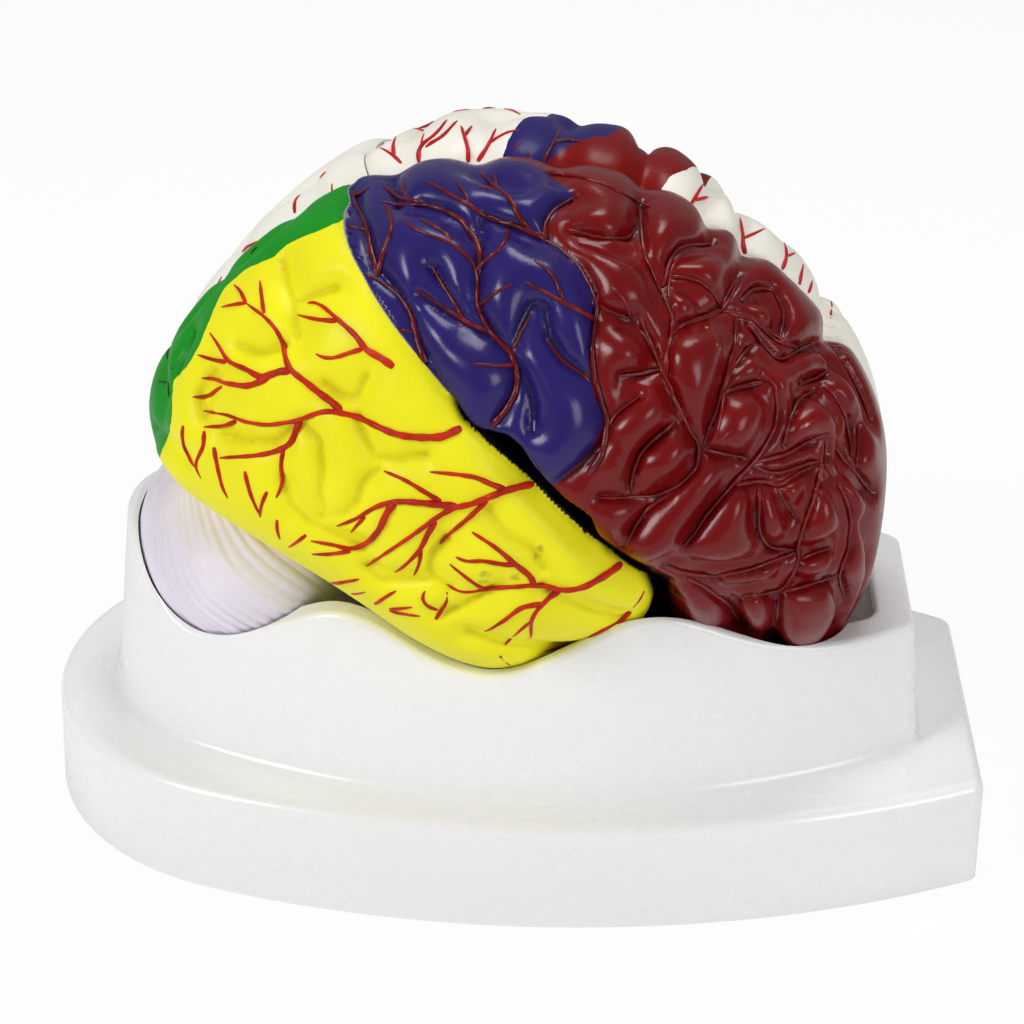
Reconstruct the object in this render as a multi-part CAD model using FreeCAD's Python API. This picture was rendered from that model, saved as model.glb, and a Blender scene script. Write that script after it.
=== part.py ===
"""Dissectible brain anatomy model: eight cast pieces, pinned together, in a moulded cradle base.

Millimetres. +X runs to the forehead, +Z up, and the object's right side is towards -Y.
"""
import FreeCAD, Part
import math
import os

# Plinth of the base
BASE_LENGTH = 210.0
BASE_BACK_RADIUS = 60.6
BASE_SIDE_RADIUS = 224.6
BASE_END_WIDTH = 76.0
PLINTH_HEIGHT = 24.0
PLINTH_DRAFT = 1.6
PLINTH_EDGE_RADIUS = 2.5
CORNER_RADIUS = 4.0
PLINTH_SHELL = 3.5

# Cradle wall that stands on the plinth
CRADLE_LENGTH = 182.0
CRADLE_BACK_RADIUS = 44.4
CRADLE_SIDE_RADIUS = 152.4
CRADLE_END_WIDTH = 46.5
CRADLE_LEAN = 5.7
CRADLE_TOP = 76.0
CRADLE_WALL = 4.2
CRADLE_INNER_DRAFT = 4.0
CRADLE_FOOT_RADIUS = 2.5
BOWL_FLOOR = 46.0
BOWL_RADIUS = 7.0
RIM_RADIUS = 1.5
# Wavy rim, seen from the side: (along X, height)
RIM_WAVE = [(-97, 67), (-86, 66), (-77, 60), (-71, 52.5), (-65, 50.2), (-58, 51.6), (-45, 57.2),
            (-34, 61.8), (-24, 60), (-12, 53.8), (-2, 51.5), (8, 54), (20, 60.5), (31, 64.6),
            (42, 62), (54, 57), (66, 54), (78, 53), (97, 52.5)]

# Hemisphere of the cerebrum
BRAIN_BACK = -78.5
BRAIN_FRONT = 80.0
MIDLINE_GAP = 0.3
MIDLINE_BLEND = 6.0
SEAT_GAP = 0.3
# Half sections at stations along the hemisphere, 0 degrees at the back, 180 at the front
STATIONS = [0, 20, 45, 70, 90, 110, 135, 160, 180]
CROWN_HEIGHT = [92, 105, 127.5, 146, 149.3, 144.3, 124, 100.5, 78]
CROWN_OFFSET = [0, 8, 14, 18, 18, 15.5, 12, 8, 0]
EDGE_DROP = [0, 3, 6, 8, 8, 7, 5, 3, 0]
HALF_WIDTH = [0, 28, 50, 62, 64.5, 61, 49, 30, 0]
WIDEST_HEIGHT = [92, 92, 92, 90, 88, 88, 85, 79, 78]
BELLY_HEIGHT = [92, 84, 77, 62, 47.5, 47.5, 46, 53, 78]
BELLY_OFFSET = [0, 14, 30, 36, 35, 15, 18, 13, 0]
FLANK_TAPER = [1, 1, 1, 1, 1, 1.8, 1.05, 1, 1]
INNER_HEIGHT = [92, 88, 84, 76, 67, 58, 54, 62, 78]
# Shares of the girth at which the section reaches its crown, widest place and belly
CROWN_SHARE = 0.10
WIDEST_SHARE = 0.47
BELLY_SHARE = 0.86
FULLNESS = 0.95
# How fast the carving direction turns from the midline plane to the surface's own
EDGE_BLEND = 14.0

# Cut between the upper and the lower piece of a hemisphere, seen from the side
CUT_SUM = 107.5
CUT_CORNER_X = 34.0
CUT_FOOT_X = 38.0
CUT_CORNER_RADIUS = 9.0
CUT_GAP = 0.3
FISSURE_START_X = -9.0
FISSURE_FULL_X = 8.0
FISSURE_DEPTH = 8.5
FISSURE_REACH = 7.0
FISSURE_END_GIRTH = 0.74
FISSURE_FADE_GIRTH = 0.14

# Cerebellum and brainstem
CEREBELLUM_X = -53.0
CEREBELLUM_Z = 61.0
CEREBELLUM_BACK = 31.0
CEREBELLUM_FORE = 27.0
CEREBELLUM_WIDTH = 43.0
CEREBELLUM_RISE = 22.0
CEREBELLUM_DEPTH = 26.0
FOLIA = 20
FOLIA_TILT = 38.0
FOLIA_DEPTH = 0.7
# Brainstem sections from the top: (height, middle X, half length, half width)
STEM_SECTIONS = [(74, -12, 13, 17), (63, -13, 14, 17), (54, -14, 14.5, 16), (46, -17, 11, 11.5),
                 (38, -20, 9, 9), (31, -22, 8, 8)]

# Steel locating pins
PIN_DIAMETER = 4.0
PIN_LENGTH = 14.0
PIN_CHAMFER = 0.4
PIN_FIT = 0.1
PIN_SLIDE = 0.4
UPPER_PIN_PLACES = [(-20.0, 32.0), (14.0, 34.0)]
STEM_PIN_X = -14.0
STEM_PIN_Y = 8.5
STEM_PIN_RISE = 3.0
CEREBELLUM_PIN_Y = 7.5
CEREBELLUM_PIN_Z = 56.0
CEREBELLUM_PIN_BACK = 4.0

# Folds of the cerebral surface: (station in degrees, percent of the girth)
FRONTAL_FOLDS = [
    [(108, 3), (108, 14), (109, 20), (112, 25)],
    [(109, 28), (113, 33), (119, 38), (119, 40), (116, 42), (112, 43), (104, 43)],
    [(112, 25), (114, 28), (112, 30), (113, 33)],
    [(113, 23), (117, 22), (121, 24)],
    [(114, 28), (122, 24), (129, 22), (137, 22)],
    [(126, 23), (132, 26), (138, 20), (145, 13), (146, 3)],
    [(122, 24), (124, 18), (126, 10), (126, 2)],
    [(124, 24), (124, 28), (122, 34), (120, 39)],
    [(129, 29), (133, 32), (129, 38), (124, 42), (118, 47)],
    [(122, 33), (129, 30)],
    [(134, 37), (135, 32), (140, 27)],
    [(142, 25), (149, 27), (152, 33)],
    [(137, 27), (141, 24), (145, 20)],
    [(125, 21), (131, 14), (134, 18), (132, 23)],
    [(144, 15), (152, 17), (160, 21)],
    [(113, 24), (113, 20), (120, 14), (119, 4)],
    [(120, 39), (128, 39), (134, 37), (143, 33)],
    [(129, 39), (134, 40), (142, 36)],
    [(126, 41), (134, 41), (141, 37)],
    [(130, 41), (130, 46), (133, 49), (138, 48)],
    [(133, 41), (138, 46)],
    [(143, 37), (141, 42), (138, 48), (139, 51), (135, 55), (127, 56)],
    [(147, 38), (152, 43), (153, 49), (150, 54), (154, 60), (152, 70)],
    [(144, 33), (144, 38), (150, 38)],
    [(147, 33), (153, 35), (161, 39)],
    [(154, 26), (153, 36)],
    [(115, 50), (124, 52), (138, 49)],
    [(119, 52), (126, 58), (129, 68)],
    [(135, 56), (135, 70), (138, 80)],
    [(139, 50), (148, 48)],
    [(136, 55), (150, 54)],
    [(103, 28), (108, 29)],
    [(107, 34), (113, 32)],
    [(105, 37), (109, 34)],
    [(115, 37), (110, 40), (109, 43)],
    [(115, 43), (108, 47)],
    [(124, 30), (128, 25)],
    [(99, 20), (107, 21), (108, 16)],
    [(122, 72), (132, 80), (146, 82)],
    [(160, 45), (164, 58), (160, 72)],
]
PARIETAL_FOLDS = [
    [(86, 20), (86, 28)],
    [(80, 25), (83, 29), (85, 31)],
    [(86, 28), (89, 31), (93, 34), (92, 36), (90, 38)],
    [(92, 32), (94, 28), (97, 31), (102, 34)],
    [(65, 10), (67, 16), (72, 25), (77, 30), (84, 37)],
    [(77, 17), (83, 20), (86, 22)],
    [(93, 34), (95, 38)],
    [(71, 3), (72, 14), (74, 17)],
    [(78, 28), (88, 31)],
    [(87, 19), (95, 22)],
    [(83, 2), (84, 11), (90, 14)],
    [(95, 2), (96, 12)],
    [(99, 15), (95, 20), (100, 24), (103, 28), (104, 35), (105, 39), (99, 43)],
]
TEMPORAL_FOLDS = [
    [(55, 19), (57, 24), (60, 31)],
    [(59, 26), (66, 26)],
    [(71, 35), (68, 37), (64, 36)],
    [(69, 37), (73, 42), (81, 41)],
    [(61, 39), (65, 43), (65, 47)],
    [(73, 42), (69, 46), (65, 47)],
    [(57, 44), (62, 49), (71, 51)],
    [(83, 47), (81, 51), (84, 54)],
    [(89, 44), (93, 46), (97, 50)],
    [(97, 52), (103, 57), (108, 61)],
    [(83, 59), (88, 55), (91, 53)],
    [(71, 54), (74, 57), (82, 53)],
    [(86, 62), (95, 65), (100, 70)],
    [(46, 41), (57, 42), (60, 40)],
    [(49, 30), (58, 31)],
    [(43, 32), (40, 36), (41, 39)],
]
OCCIPITAL_FOLDS = [
    [(24, 40), (30, 29), (34, 22)],
    [(56, 2), (54, 9), (46, 12)],
    [(40, 2), (38, 12), (30, 14)],
    [(22, 2), (20, 20), (24, 30)],
    [(16, 50), (26, 44), (36, 46)],
]
# Each group of folds: (paths, depth, reach to either side)
FOLD_SHARPNESS = 1.6
FOLD_GROUPS = [(FRONTAL_FOLDS, 5.6, 5.0), (PARIETAL_FOLDS, 4.2, 6.2),
               (TEMPORAL_FOLDS, 3.1, 6.2), (OCCIPITAL_FOLDS, 2.6, 4.8)]

# Poles of the carved surface along and round the hemisphere, and of a smooth one
CARVED_POLES = (104, 88)
SMOOTH_POLES = (64, 54)
CEREBELLUM_POLES = (60, 84)
REACH = 300.0


def natural_spline(xs, ys):
    """Return a function that runs smoothly through the points (natural cubic)."""
    last = len(xs) - 1
    steps = [xs[i + 1] - xs[i] for i in range(last)]
    slopes = [(ys[i + 1] - ys[i]) / steps[i] for i in range(last)]
    lower = [0.0] * (last + 1)
    right = [0.0] * (last + 1)
    for i in range(1, last):
        pivot = 2 * (steps[i - 1] + steps[i]) - steps[i - 1] * lower[i - 1]
        lower[i] = steps[i] / pivot
        right[i] = (3 * (slopes[i] - slopes[i - 1]) - steps[i - 1] * right[i - 1]) / pivot
    bend = [0.0] * (last + 1)
    for i in range(last - 1, 0, -1):
        bend[i] = right[i] - lower[i] * bend[i + 1]

    def value(x):
        i = 0
        while i < last - 1 and x > xs[i + 1]:
            i += 1
        t = x - xs[i]
        start = slopes[i] - steps[i] * (2 * bend[i] + bend[i + 1]) / 3
        twist = (bend[i + 1] - bend[i]) / (3 * steps[i])
        return ys[i] + t * (start + t * (bend[i] + t * twist))

    return value


SECTION_CURVES = [natural_spline(STATIONS, row) for row in (
    CROWN_HEIGHT, CROWN_OFFSET, EDGE_DROP, HALF_WIDTH, WIDEST_HEIGHT,
    BELLY_HEIGHT, BELLY_OFFSET, FLANK_TAPER, INNER_HEIGHT)]


def hemisphere_point(station, girth):
    """Point of the smooth hemisphere: (x, distance from the midline, z)."""
    values = [curve(station) for curve in SECTION_CURVES]
    crown, crown_off, drop, width, widest, belly, belly_off, taper, inner = values
    middle = (BRAIN_BACK + BRAIN_FRONT) / 2
    x = middle - (BRAIN_FRONT - BRAIN_BACK) / 2 * math.cos(math.radians(station))
    quarter = math.pi / 2
    if girth < CROWN_SHARE:
        t = quarter * girth / CROWN_SHARE
        return x, crown_off * (1 - math.cos(t)), crown - drop * (1 - math.sin(t))
    if girth < WIDEST_SHARE:
        t = quarter * (girth - CROWN_SHARE) / (WIDEST_SHARE - CROWN_SHARE)
        side = crown_off + (width - crown_off) * math.sin(t) ** FULLNESS
        return x, side, widest + (crown - widest) * max(math.cos(t), 0.0) ** FULLNESS
    if girth < BELLY_SHARE:
        t = quarter * (girth - WIDEST_SHARE) / (BELLY_SHARE - WIDEST_SHARE)
        side = belly_off + (width - belly_off) * max(math.cos(t), 0.0) ** taper
        return x, side, widest - (widest - belly) * math.sin(t)
    t = (girth - BELLY_SHARE) / (1 - BELLY_SHARE)
    return x, belly_off * (1 - t), belly + (inner - belly) * t * t * (3 - 2 * t)


def cerebellum_point(station, girth):
    """Point of the smooth cerebellum half, from its back tip to its front tip."""
    along = math.radians(station)
    turn = math.pi * girth
    length = CEREBELLUM_BACK if station < 90 else CEREBELLUM_FORE
    height = CEREBELLUM_RISE if girth < 0.5 else CEREBELLUM_DEPTH
    x = CEREBELLUM_X - length * math.cos(along)
    side = CEREBELLUM_WIDTH * math.sin(along) * math.sin(turn)
    return x, side, CEREBELLUM_Z + height * math.sin(along) * math.cos(turn)


def smooth_share(value):
    """Ease a value into 0 to 1."""
    t = min(max(value, 0.0), 1.0)
    return t * t * (3 - 2 * t)


def outward(point, station, girth):
    """Unit vector out of a surface, in the midline plane itself at the surface's two edges."""
    step = 0.004
    s0, s1 = max(station - 180 * step, 0.5), min(station + 180 * step, 179.5)
    g0, g1 = max(girth - step, 0.0), min(girth + step, 1.0)
    along = FreeCAD.Vector(*point(s1, girth)) - FreeCAD.Vector(*point(s0, girth))
    middle = min(max(station, 0.5), 179.5)
    across = FreeCAD.Vector(*point(middle, g1)) - FreeCAD.Vector(*point(middle, g0))
    normal = along.cross(across).normalize()
    side_share = smooth_share(EDGE_BLEND * min(girth, 1 - girth))
    in_plane = FreeCAD.Vector(along.z, 0, -along.x) * (1 if girth > 0.5 else -1)
    normal = in_plane.normalize() * (1 - side_share) + normal * side_share
    if station in (0.0, 180.0):
        normal = FreeCAD.Vector(station - 90, 0, 0)
    return normal.normalize()


def greville(count):
    """Places from 0 to 1 that the poles of a clamped uniform cubic stand for."""
    knots = [0.0] * 4 + [float(i) for i in range(1, count - 3)] + [float(count - 3)] * 4
    return [sum(knots[i + 1:i + 4]) / 3 / (count - 3) for i in range(count)]


def skin(point, poles, relief=None, grow=0.0, gap=MIDLINE_GAP / 2):
    """Right-hand surface of a form, carved or grown, whose open edge lies along the midline."""
    net = []
    for s in greville(poles[0]):
        row = []
        for girth in greville(poles[1]):
            station = 180 * s
            place = FreeCAD.Vector(*point(station, girth))
            lift = grow - (relief(place, station, girth) if relief else 0.0)
            place += outward(point, station, girth) * lift
            if girth in (0.0, 1.0) or station in (0.0, 180.0):
                place.y = 0.0
            share = 1.0 if not grow else smooth_share(place.y / MIDLINE_BLEND)
            row.append(FreeCAD.Vector(place.x, -place.y - gap * share, place.z))
        net.append(row)
    for tip in (0, -1):
        net[tip] = [net[tip][0]] * poles[1]
    surface = Part.BSplineSurface()
    spans = [list(range(n - 2)) for n in poles]
    mults = [[4] + [1] * (n - 4) + [4] for n in poles]
    surface.buildFromPolesMultsKnots(net, mults[0], mults[1], spans[0], spans[1], False, False, 3, 3)
    return surface.toShape()


def closed_solid(faces):
    """Solid from faces that share their edges."""
    shell = Part.makeShell(faces)
    shell.sewShape()
    solid = Part.Solid(shell)
    if solid.Volume < 0:
        solid.reverse()
    return solid


def dome(point, poles, relief):
    """Right half of a form: its carved surface and a flat face at the midline."""
    surface = skin(point, poles, relief)
    rims = [edge for edge in surface.Edges if edge.Length > 1.0 and edge.BoundBox.YLength < 1e-6]
    cap = Part.Face(Part.Wire(Part.__sortEdges__(rims)))
    return closed_solid([surface, cap])


def room(point):
    """Smooth form of both halves together, grown by the seat gap."""
    surface = skin(point, SMOOTH_POLES, None, SEAT_GAP)
    return closed_solid([surface, mirrored(surface)])


def fold_segments():
    """Every fold as short straight pieces on the smooth surface, with its depth and reach."""
    segments = []
    for paths, depth, reach in FOLD_GROUPS:
        for path in paths:
            spots = [FreeCAD.Vector(*hemisphere_point(s, g / 100)) for s, g in path]
            for start, end in zip(spots, spots[1:]):
                middle = (start + end) * 0.5
                segments.append((start, end - start, middle, (end - start).Length / 2, depth, reach))
    return segments


def cut_distance(x, z):
    """Distance in the side view from the cut between the upper and the lower piece."""
    corner_z = CUT_SUM - CUT_CORNER_X
    if z > corner_z:
        return abs(x + z - CUT_SUM) / math.sqrt(2)
    foot_x = CUT_CORNER_X + (CUT_FOOT_X - CUT_CORNER_X) * (corner_z - z) / corner_z
    return abs(x - foot_x)


def cerebral_relief():
    """Return the depth of carving at a point of the hemisphere."""
    segments = fold_segments()

    def depth_at(place, station, girth):
        carved = 0.0
        for start, run, middle, half, depth, reach in segments:
            if place.distanceToPoint(middle) > half + reach:
                continue
            t = min(max((place - start).dot(run) / run.dot(run), 0.0), 1.0)
            share = 1 - place.distanceToPoint(start + run * t) / reach
            if share > 0:
                carved = max(carved, depth * share ** FOLD_SHARPNESS)
        share = 1 - cut_distance(place.x, place.z) / FISSURE_REACH
        if share > 0 and girth > CROWN_SHARE:
            ramp = (place.x - FISSURE_START_X) / (FISSURE_FULL_X - FISSURE_START_X)
            fade = (FISSURE_END_GIRTH - girth) / FISSURE_FADE_GIRTH
            opening = smooth_share(ramp) * smooth_share(fade)
            carved = max(carved, FISSURE_DEPTH * opening * share ** FOLD_SHARPNESS)
        return carved * smooth_share(12 * min(station, 180 - station) / 90)

    return depth_at


def folia_relief(place, station, girth):
    """Fine parallel leaves of the cerebellum, fading at its tips and at the midline."""
    fade = smooth_share(3 * min(station, 180 - station) / 90) * smooth_share(12 * min(girth, 1 - girth))
    tilt = math.radians(FOLIA_TILT)
    up = (place.x - CEREBELLUM_X) * math.sin(tilt) + (place.z - CEREBELLUM_Z) * math.cos(tilt)
    turn = math.atan2(place.y, up)
    return FOLIA_DEPTH * fade * (1 - abs(math.sin(FOLIA * turn)))


def upper_space(offset):
    """Everything in front of and above the cut, moved off it by a distance."""
    slope = offset * math.sqrt(2)
    corner_z = CUT_SUM - CUT_CORNER_X
    corner = FreeCAD.Vector(CUT_CORNER_X + offset, -REACH / 2, corner_z + slope - offset)
    foot = FreeCAD.Vector(CUT_FOOT_X + offset, -REACH / 2, -10)
    top = FreeCAD.Vector(CUT_SUM - REACH + slope, -REACH / 2, REACH)
    far = [FreeCAD.Vector(REACH, -REACH / 2, REACH), FreeCAD.Vector(REACH, -REACH / 2, -10)]
    outline = Part.makePolygon([corner, foot, far[1], far[0], top, corner])
    block = Part.Face(outline).extrude(FreeCAD.Vector(0, REACH, 0))
    edge = [e for e in block.Edges if e.BoundBox.YLength > 1
            and abs(e.BoundBox.Center.x - corner.x) < 0.01 and abs(e.BoundBox.Center.z - corner.z) < 0.01]
    return block.makeFillet(CUT_CORNER_RADIUS - offset, edge)


def pin_axes():
    """Start and direction of each pin of the right side."""
    up = FreeCAD.Vector(0, 0, 1)
    axes = []
    for x, side in UPPER_PIN_PLACES:
        middle = FreeCAD.Vector(x, -side, CUT_SUM - x)
        axes.append((middle - up * (PIN_LENGTH / 2), up))
    stem_top = STEM_SECTIONS[1][0]
    axes.append((FreeCAD.Vector(STEM_PIN_X, -STEM_PIN_Y, stem_top - PIN_LENGTH / 2 + STEM_PIN_RISE), up))
    front = CEREBELLUM_X + CEREBELLUM_FORE
    start_x = front - PIN_LENGTH / 2 - CEREBELLUM_PIN_BACK
    start = FreeCAD.Vector(start_x, -CEREBELLUM_PIN_Y, CEREBELLUM_PIN_Z)
    axes.append((start, FreeCAD.Vector(1, 0, 0)))
    return axes


def pin(axis, clearance=0.0):
    """One pin, or the bore for it when a clearance is given."""
    start, way = axis
    radius = PIN_DIAMETER / 2 + clearance
    body = Part.makeCylinder(radius, PIN_LENGTH + 2 * clearance, start - way * clearance, way)
    return body if clearance else body.makeChamfer(PIN_CHAMFER, [e for e in body.Edges if e.Closed])


def plan_wire(length, back_radius, side_radius, end_width, inset, z):
    """Outline of the base: a straight front end, two long side arcs and a round back."""
    front = length / 2
    back_x = -length / 2 + back_radius
    gap = math.hypot(front - back_x, end_width / 2)
    reach = side_radius - back_radius
    share = (reach ** 2 - side_radius ** 2 + gap ** 2) / (2 * gap)
    lift = math.sqrt(reach ** 2 - share ** 2)
    ux, uy = (front - back_x) / gap, -end_width / 2 / gap
    cx = back_x + ux * share - uy * lift
    cy = uy * share + ux * lift
    radius = side_radius - inset
    x_end = front - inset
    corner_angle = -math.acos((x_end - cx) / radius)
    away = math.atan2(-cy, back_x - cx)
    tangent = FreeCAD.Vector(back_x + (back_radius - inset) * math.cos(away),
                             (back_radius - inset) * math.sin(away), z)

    def on_side(angle):
        return FreeCAD.Vector(cx + radius * math.cos(angle), cy + radius * math.sin(angle), z)

    def far(p):
        return FreeCAD.Vector(p.x, -p.y, z)

    near_corner = on_side(corner_angle)
    middle = on_side((corner_angle + away) / 2)
    back = FreeCAD.Vector(-length / 2 + inset, 0, z)
    return Part.Wire([
        Part.makeLine(near_corner, far(near_corner)),
        Part.Arc(far(near_corner), far(middle), far(tangent)).toShape(),
        Part.Arc(far(tangent), back, tangent).toShape(),
        Part.Arc(tangent, middle, near_corner).toShape(),
    ])


def plinth_wire(inset, z):
    """Plinth outline at a height, with the mould's draft."""
    draft = z * math.tan(math.radians(PLINTH_DRAFT))
    return plan_wire(BASE_LENGTH, BASE_BACK_RADIUS, BASE_SIDE_RADIUS, BASE_END_WIDTH, inset + draft, z)


def cradle_wire(inset, z):
    """Cradle outline at a height, leaning inward as it rises."""
    lean = (z - PLINTH_HEIGHT) * math.tan(math.radians(CRADLE_LEAN))
    return plan_wire(CRADLE_LENGTH, CRADLE_BACK_RADIUS, CRADLE_SIDE_RADIUS, CRADLE_END_WIDTH,
                     inset + lean, z)


def bowl_space():
    """Room inside the cradle wall, with a rounded floor."""
    flare = math.tan(math.radians(CRADLE_INNER_DRAFT)) + math.tan(math.radians(CRADLE_LEAN))
    floor_inset = CRADLE_WALL + (CRADLE_TOP - BOWL_FLOOR) * flare
    bowl = Part.makeLoft([cradle_wire(floor_inset, BOWL_FLOOR), cradle_wire(CRADLE_WALL, CRADLE_TOP)],
                         True, True)
    floor = [e for e in bowl.Edges if e.BoundBox.ZMax < BOWL_FLOOR + 0.01]
    upright = [e for e in bowl.Edges if e.BoundBox.ZLength > 1 and e.BoundBox.XMin > 0]
    return bowl.makeFillet(BOWL_RADIUS, floor + upright)


def sky_over_rim():
    """Everything above the wavy rim."""
    spots = [FreeCAD.Vector(x, -REACH / 2, z) for x, z in RIM_WAVE]
    wave = Part.BSplineCurve()
    wave.interpolate(spots)
    high = [FreeCAD.Vector(spots[-1].x, -REACH / 2, REACH), FreeCAD.Vector(spots[0].x, -REACH / 2, REACH)]
    lid = Part.makePolygon([spots[-1]] + high + [spots[0]])
    outline = Part.Wire([wave.toShape()] + lid.Edges)
    return Part.Face(outline).extrude(FreeCAD.Vector(0, REACH, 0))


def display_base(nest):
    """Plinth and cradle wall in one, hollow below, shaped inside to the model that rests in it."""
    plinth = Part.makeLoft([plinth_wire(0, 0), plinth_wire(0, PLINTH_HEIGHT)], True, True)
    corners = [e for e in plinth.Edges if e.BoundBox.ZLength > 1 and e.BoundBox.XMin > 0]
    plinth = plinth.makeFillet(CORNER_RADIUS, corners)
    top = [e for e in plinth.Edges if e.BoundBox.ZMin > PLINTH_HEIGHT - 0.01]
    plinth = plinth.makeFillet(PLINTH_EDGE_RADIUS, top)
    wall = Part.makeLoft([cradle_wire(0, PLINTH_HEIGHT - 1), cradle_wire(0, CRADLE_TOP)], True, True)
    corners = [e for e in wall.Edges if e.BoundBox.ZLength > 1 and e.BoundBox.XMin > 0]
    wall = wall.makeFillet(CORNER_RADIUS, corners)
    base = plinth.fuse(wall)
    reach = cradle_wire(0, PLINTH_HEIGHT).BoundBox
    reach.enlarge(0.1)
    foot = [e for e in base.Edges if reach.isInside(e.BoundBox) and e.BoundBox.ZLength < 0.1]
    base = base.makeFillet(CRADLE_FOOT_RADIUS, foot)
    base = base.cut(sky_over_rim()).cut(bowl_space())
    rim = [e for e in base.Edges if e.BoundBox.ZMin > BOWL_FLOOR + 2 and e.BoundBox.XLength > 4
           or e.BoundBox.ZMin > BOWL_FLOOR + 2 and e.BoundBox.YLength > 12]
    base = base.makeFillet(RIM_RADIUS, rim)
    for space in nest:
        base = base.cut(space)
    ceiling = PLINTH_HEIGHT - PLINTH_SHELL
    hollow = Part.makeLoft([plinth_wire(PLINTH_SHELL, 0), plinth_wire(PLINTH_SHELL, ceiling)], True, True)
    return base.cut(hollow)


def brainstem(grow=0.0):
    """Whole brainstem, from its top under the cerebrum to its lower end."""
    rings = []
    for z, x, half_length, half_width in STEM_SECTIONS:
        ellipse = Part.Ellipse(FreeCAD.Vector(0, 0, 0), max(half_length, half_width) + grow,
                               min(half_length, half_width) + grow)
        ring = Part.Wire([ellipse.toShape()])
        if half_width > half_length:
            ring.rotate(FreeCAD.Vector(0, 0, 0), FreeCAD.Vector(0, 0, 1), 90)
        lowest = z == STEM_SECTIONS[-1][0]
        ring.translate(FreeCAD.Vector(x, 0, z - grow if lowest else z))
        rings.append(ring)
    return Part.makeLoft(rings, True, False)


def mirrored(shape):
    """The left-hand copy of a right-hand piece."""
    return shape.mirror(FreeCAD.Vector(0, 0, 0), FreeCAD.Vector(0, 1, 0))


def right_pieces():
    """The four cast pieces and the pins of the right side, and the smooth rooms they need."""
    hemisphere = dome(hemisphere_point, CARVED_POLES, cerebral_relief())
    hemisphere_room = room(hemisphere_point)
    cerebellum_room = room(cerebellum_point)
    right_side = Part.makeBox(REACH, REACH, REACH,
                              FreeCAD.Vector(-REACH / 2, -REACH - MIDLINE_GAP / 2, -REACH / 2))
    upper = hemisphere.common(upper_space(CUT_GAP / 2))
    lower = hemisphere.cut(upper_space(-CUT_GAP / 2))
    cerebellum = dome(cerebellum_point, CEREBELLUM_POLES, folia_relief).cut(hemisphere_room)
    stem = brainstem().common(right_side).cut(hemisphere_room).cut(cerebellum_room)
    axes = pin_axes()
    for axis in axes[:2]:
        upper = upper.cut(pin(axis, PIN_SLIDE))
        lower = lower.cut(pin(axis, PIN_FIT))
    lower = lower.cut(pin(axes[2], PIN_FIT))
    stem = stem.cut(pin(axes[2], PIN_FIT)).cut(pin(axes[3], PIN_FIT))
    cerebellum = cerebellum.cut(pin(axes[3], PIN_FIT))
    rooms = [hemisphere_room, cerebellum_room, brainstem(SEAT_GAP)]
    return upper, lower, cerebellum, stem, [pin(axis) for axis in axes], rooms


def main():
    """Build every piece and write one STEP file for each."""
    upper, lower, cerebellum, stem, pins, rooms = right_pieces()
    pieces = {"display_base": display_base(rooms)}
    for name, shape in (("frontal_parietal", upper), ("temporal_occipital", lower),
                        ("cerebellum", cerebellum), ("brainstem", stem)):
        pieces[name + "_right"] = shape
        pieces[name + "_left"] = mirrored(shape)
    pieces["locating_pins"] = Part.makeCompound(pins + [mirrored(one) for one in pins])
    os.makedirs("parts", exist_ok=True)
    for name, shape in pieces.items():
        shape.exportStep("parts/" + name + ".step")
        box = shape.BoundBox
        print(name, shape.isValid(), len(shape.Solids), "solids", round(shape.Volume), "mm3",
              [round(v, 1) for v in (box.XMin, box.XMax, box.YMin, box.YMax, box.ZMin, box.ZMax)])


main()
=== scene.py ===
# %% [markdown]
# # A dissectible brain model on its moulded stand
# The real thing is a teaching model: eight painted castings that plug together with steel pins and
# rest in a glossy white stand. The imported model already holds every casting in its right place, so
# this lesson only gives the castings the skin that is seen from a step away: puffy folds with narrow
# creases, raised blood vessels, thin leaves on the cerebellum, and hand-painted colours.

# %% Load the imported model
import math
import bmesh
import bpy
import numpy as np
from mathutils import Matrix, Vector
from mathutils.bvhtree import BVHTree
from mathutils.kdtree import KDTree


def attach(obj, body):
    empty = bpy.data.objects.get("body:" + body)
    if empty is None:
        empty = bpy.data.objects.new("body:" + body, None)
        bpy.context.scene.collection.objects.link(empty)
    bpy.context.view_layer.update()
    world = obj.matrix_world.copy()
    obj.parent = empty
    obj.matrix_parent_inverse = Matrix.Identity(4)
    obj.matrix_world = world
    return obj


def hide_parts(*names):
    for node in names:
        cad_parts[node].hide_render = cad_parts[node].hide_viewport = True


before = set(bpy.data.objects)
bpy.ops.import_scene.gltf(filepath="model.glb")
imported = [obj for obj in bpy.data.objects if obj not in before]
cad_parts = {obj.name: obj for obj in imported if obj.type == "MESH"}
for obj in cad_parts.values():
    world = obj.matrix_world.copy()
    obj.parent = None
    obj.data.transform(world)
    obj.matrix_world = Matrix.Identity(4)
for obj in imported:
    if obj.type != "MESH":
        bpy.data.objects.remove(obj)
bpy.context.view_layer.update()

STAND = "stand_and_lower_brain"
SIDES = ("right", "left")
MM = 0.001

# %% [markdown]
# ## The camera
# The photograph was taken from a little above, almost square to the right side, with a long lens.
# The values below were found by matching the stand's edges and the top of the brain to the picture.
# A camera looks along its own minus Z, so its three axes are worked out first and then put together
# in one matrix.

# %% Place the camera
PICTURE = 1024
FOCAL_PIXELS = 2149.2
SENSOR_MM = 36.0
CAMERA_RISE = math.radians(25.51)
CAMERA_TURN = math.radians(4.271)
CAMERA_ROLL = math.radians(1.025)
CAMERA_DISTANCE = 481.44 * MM
CAMERA_TARGET = Vector((-0.641, 0.0, 64.575)) * MM


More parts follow.
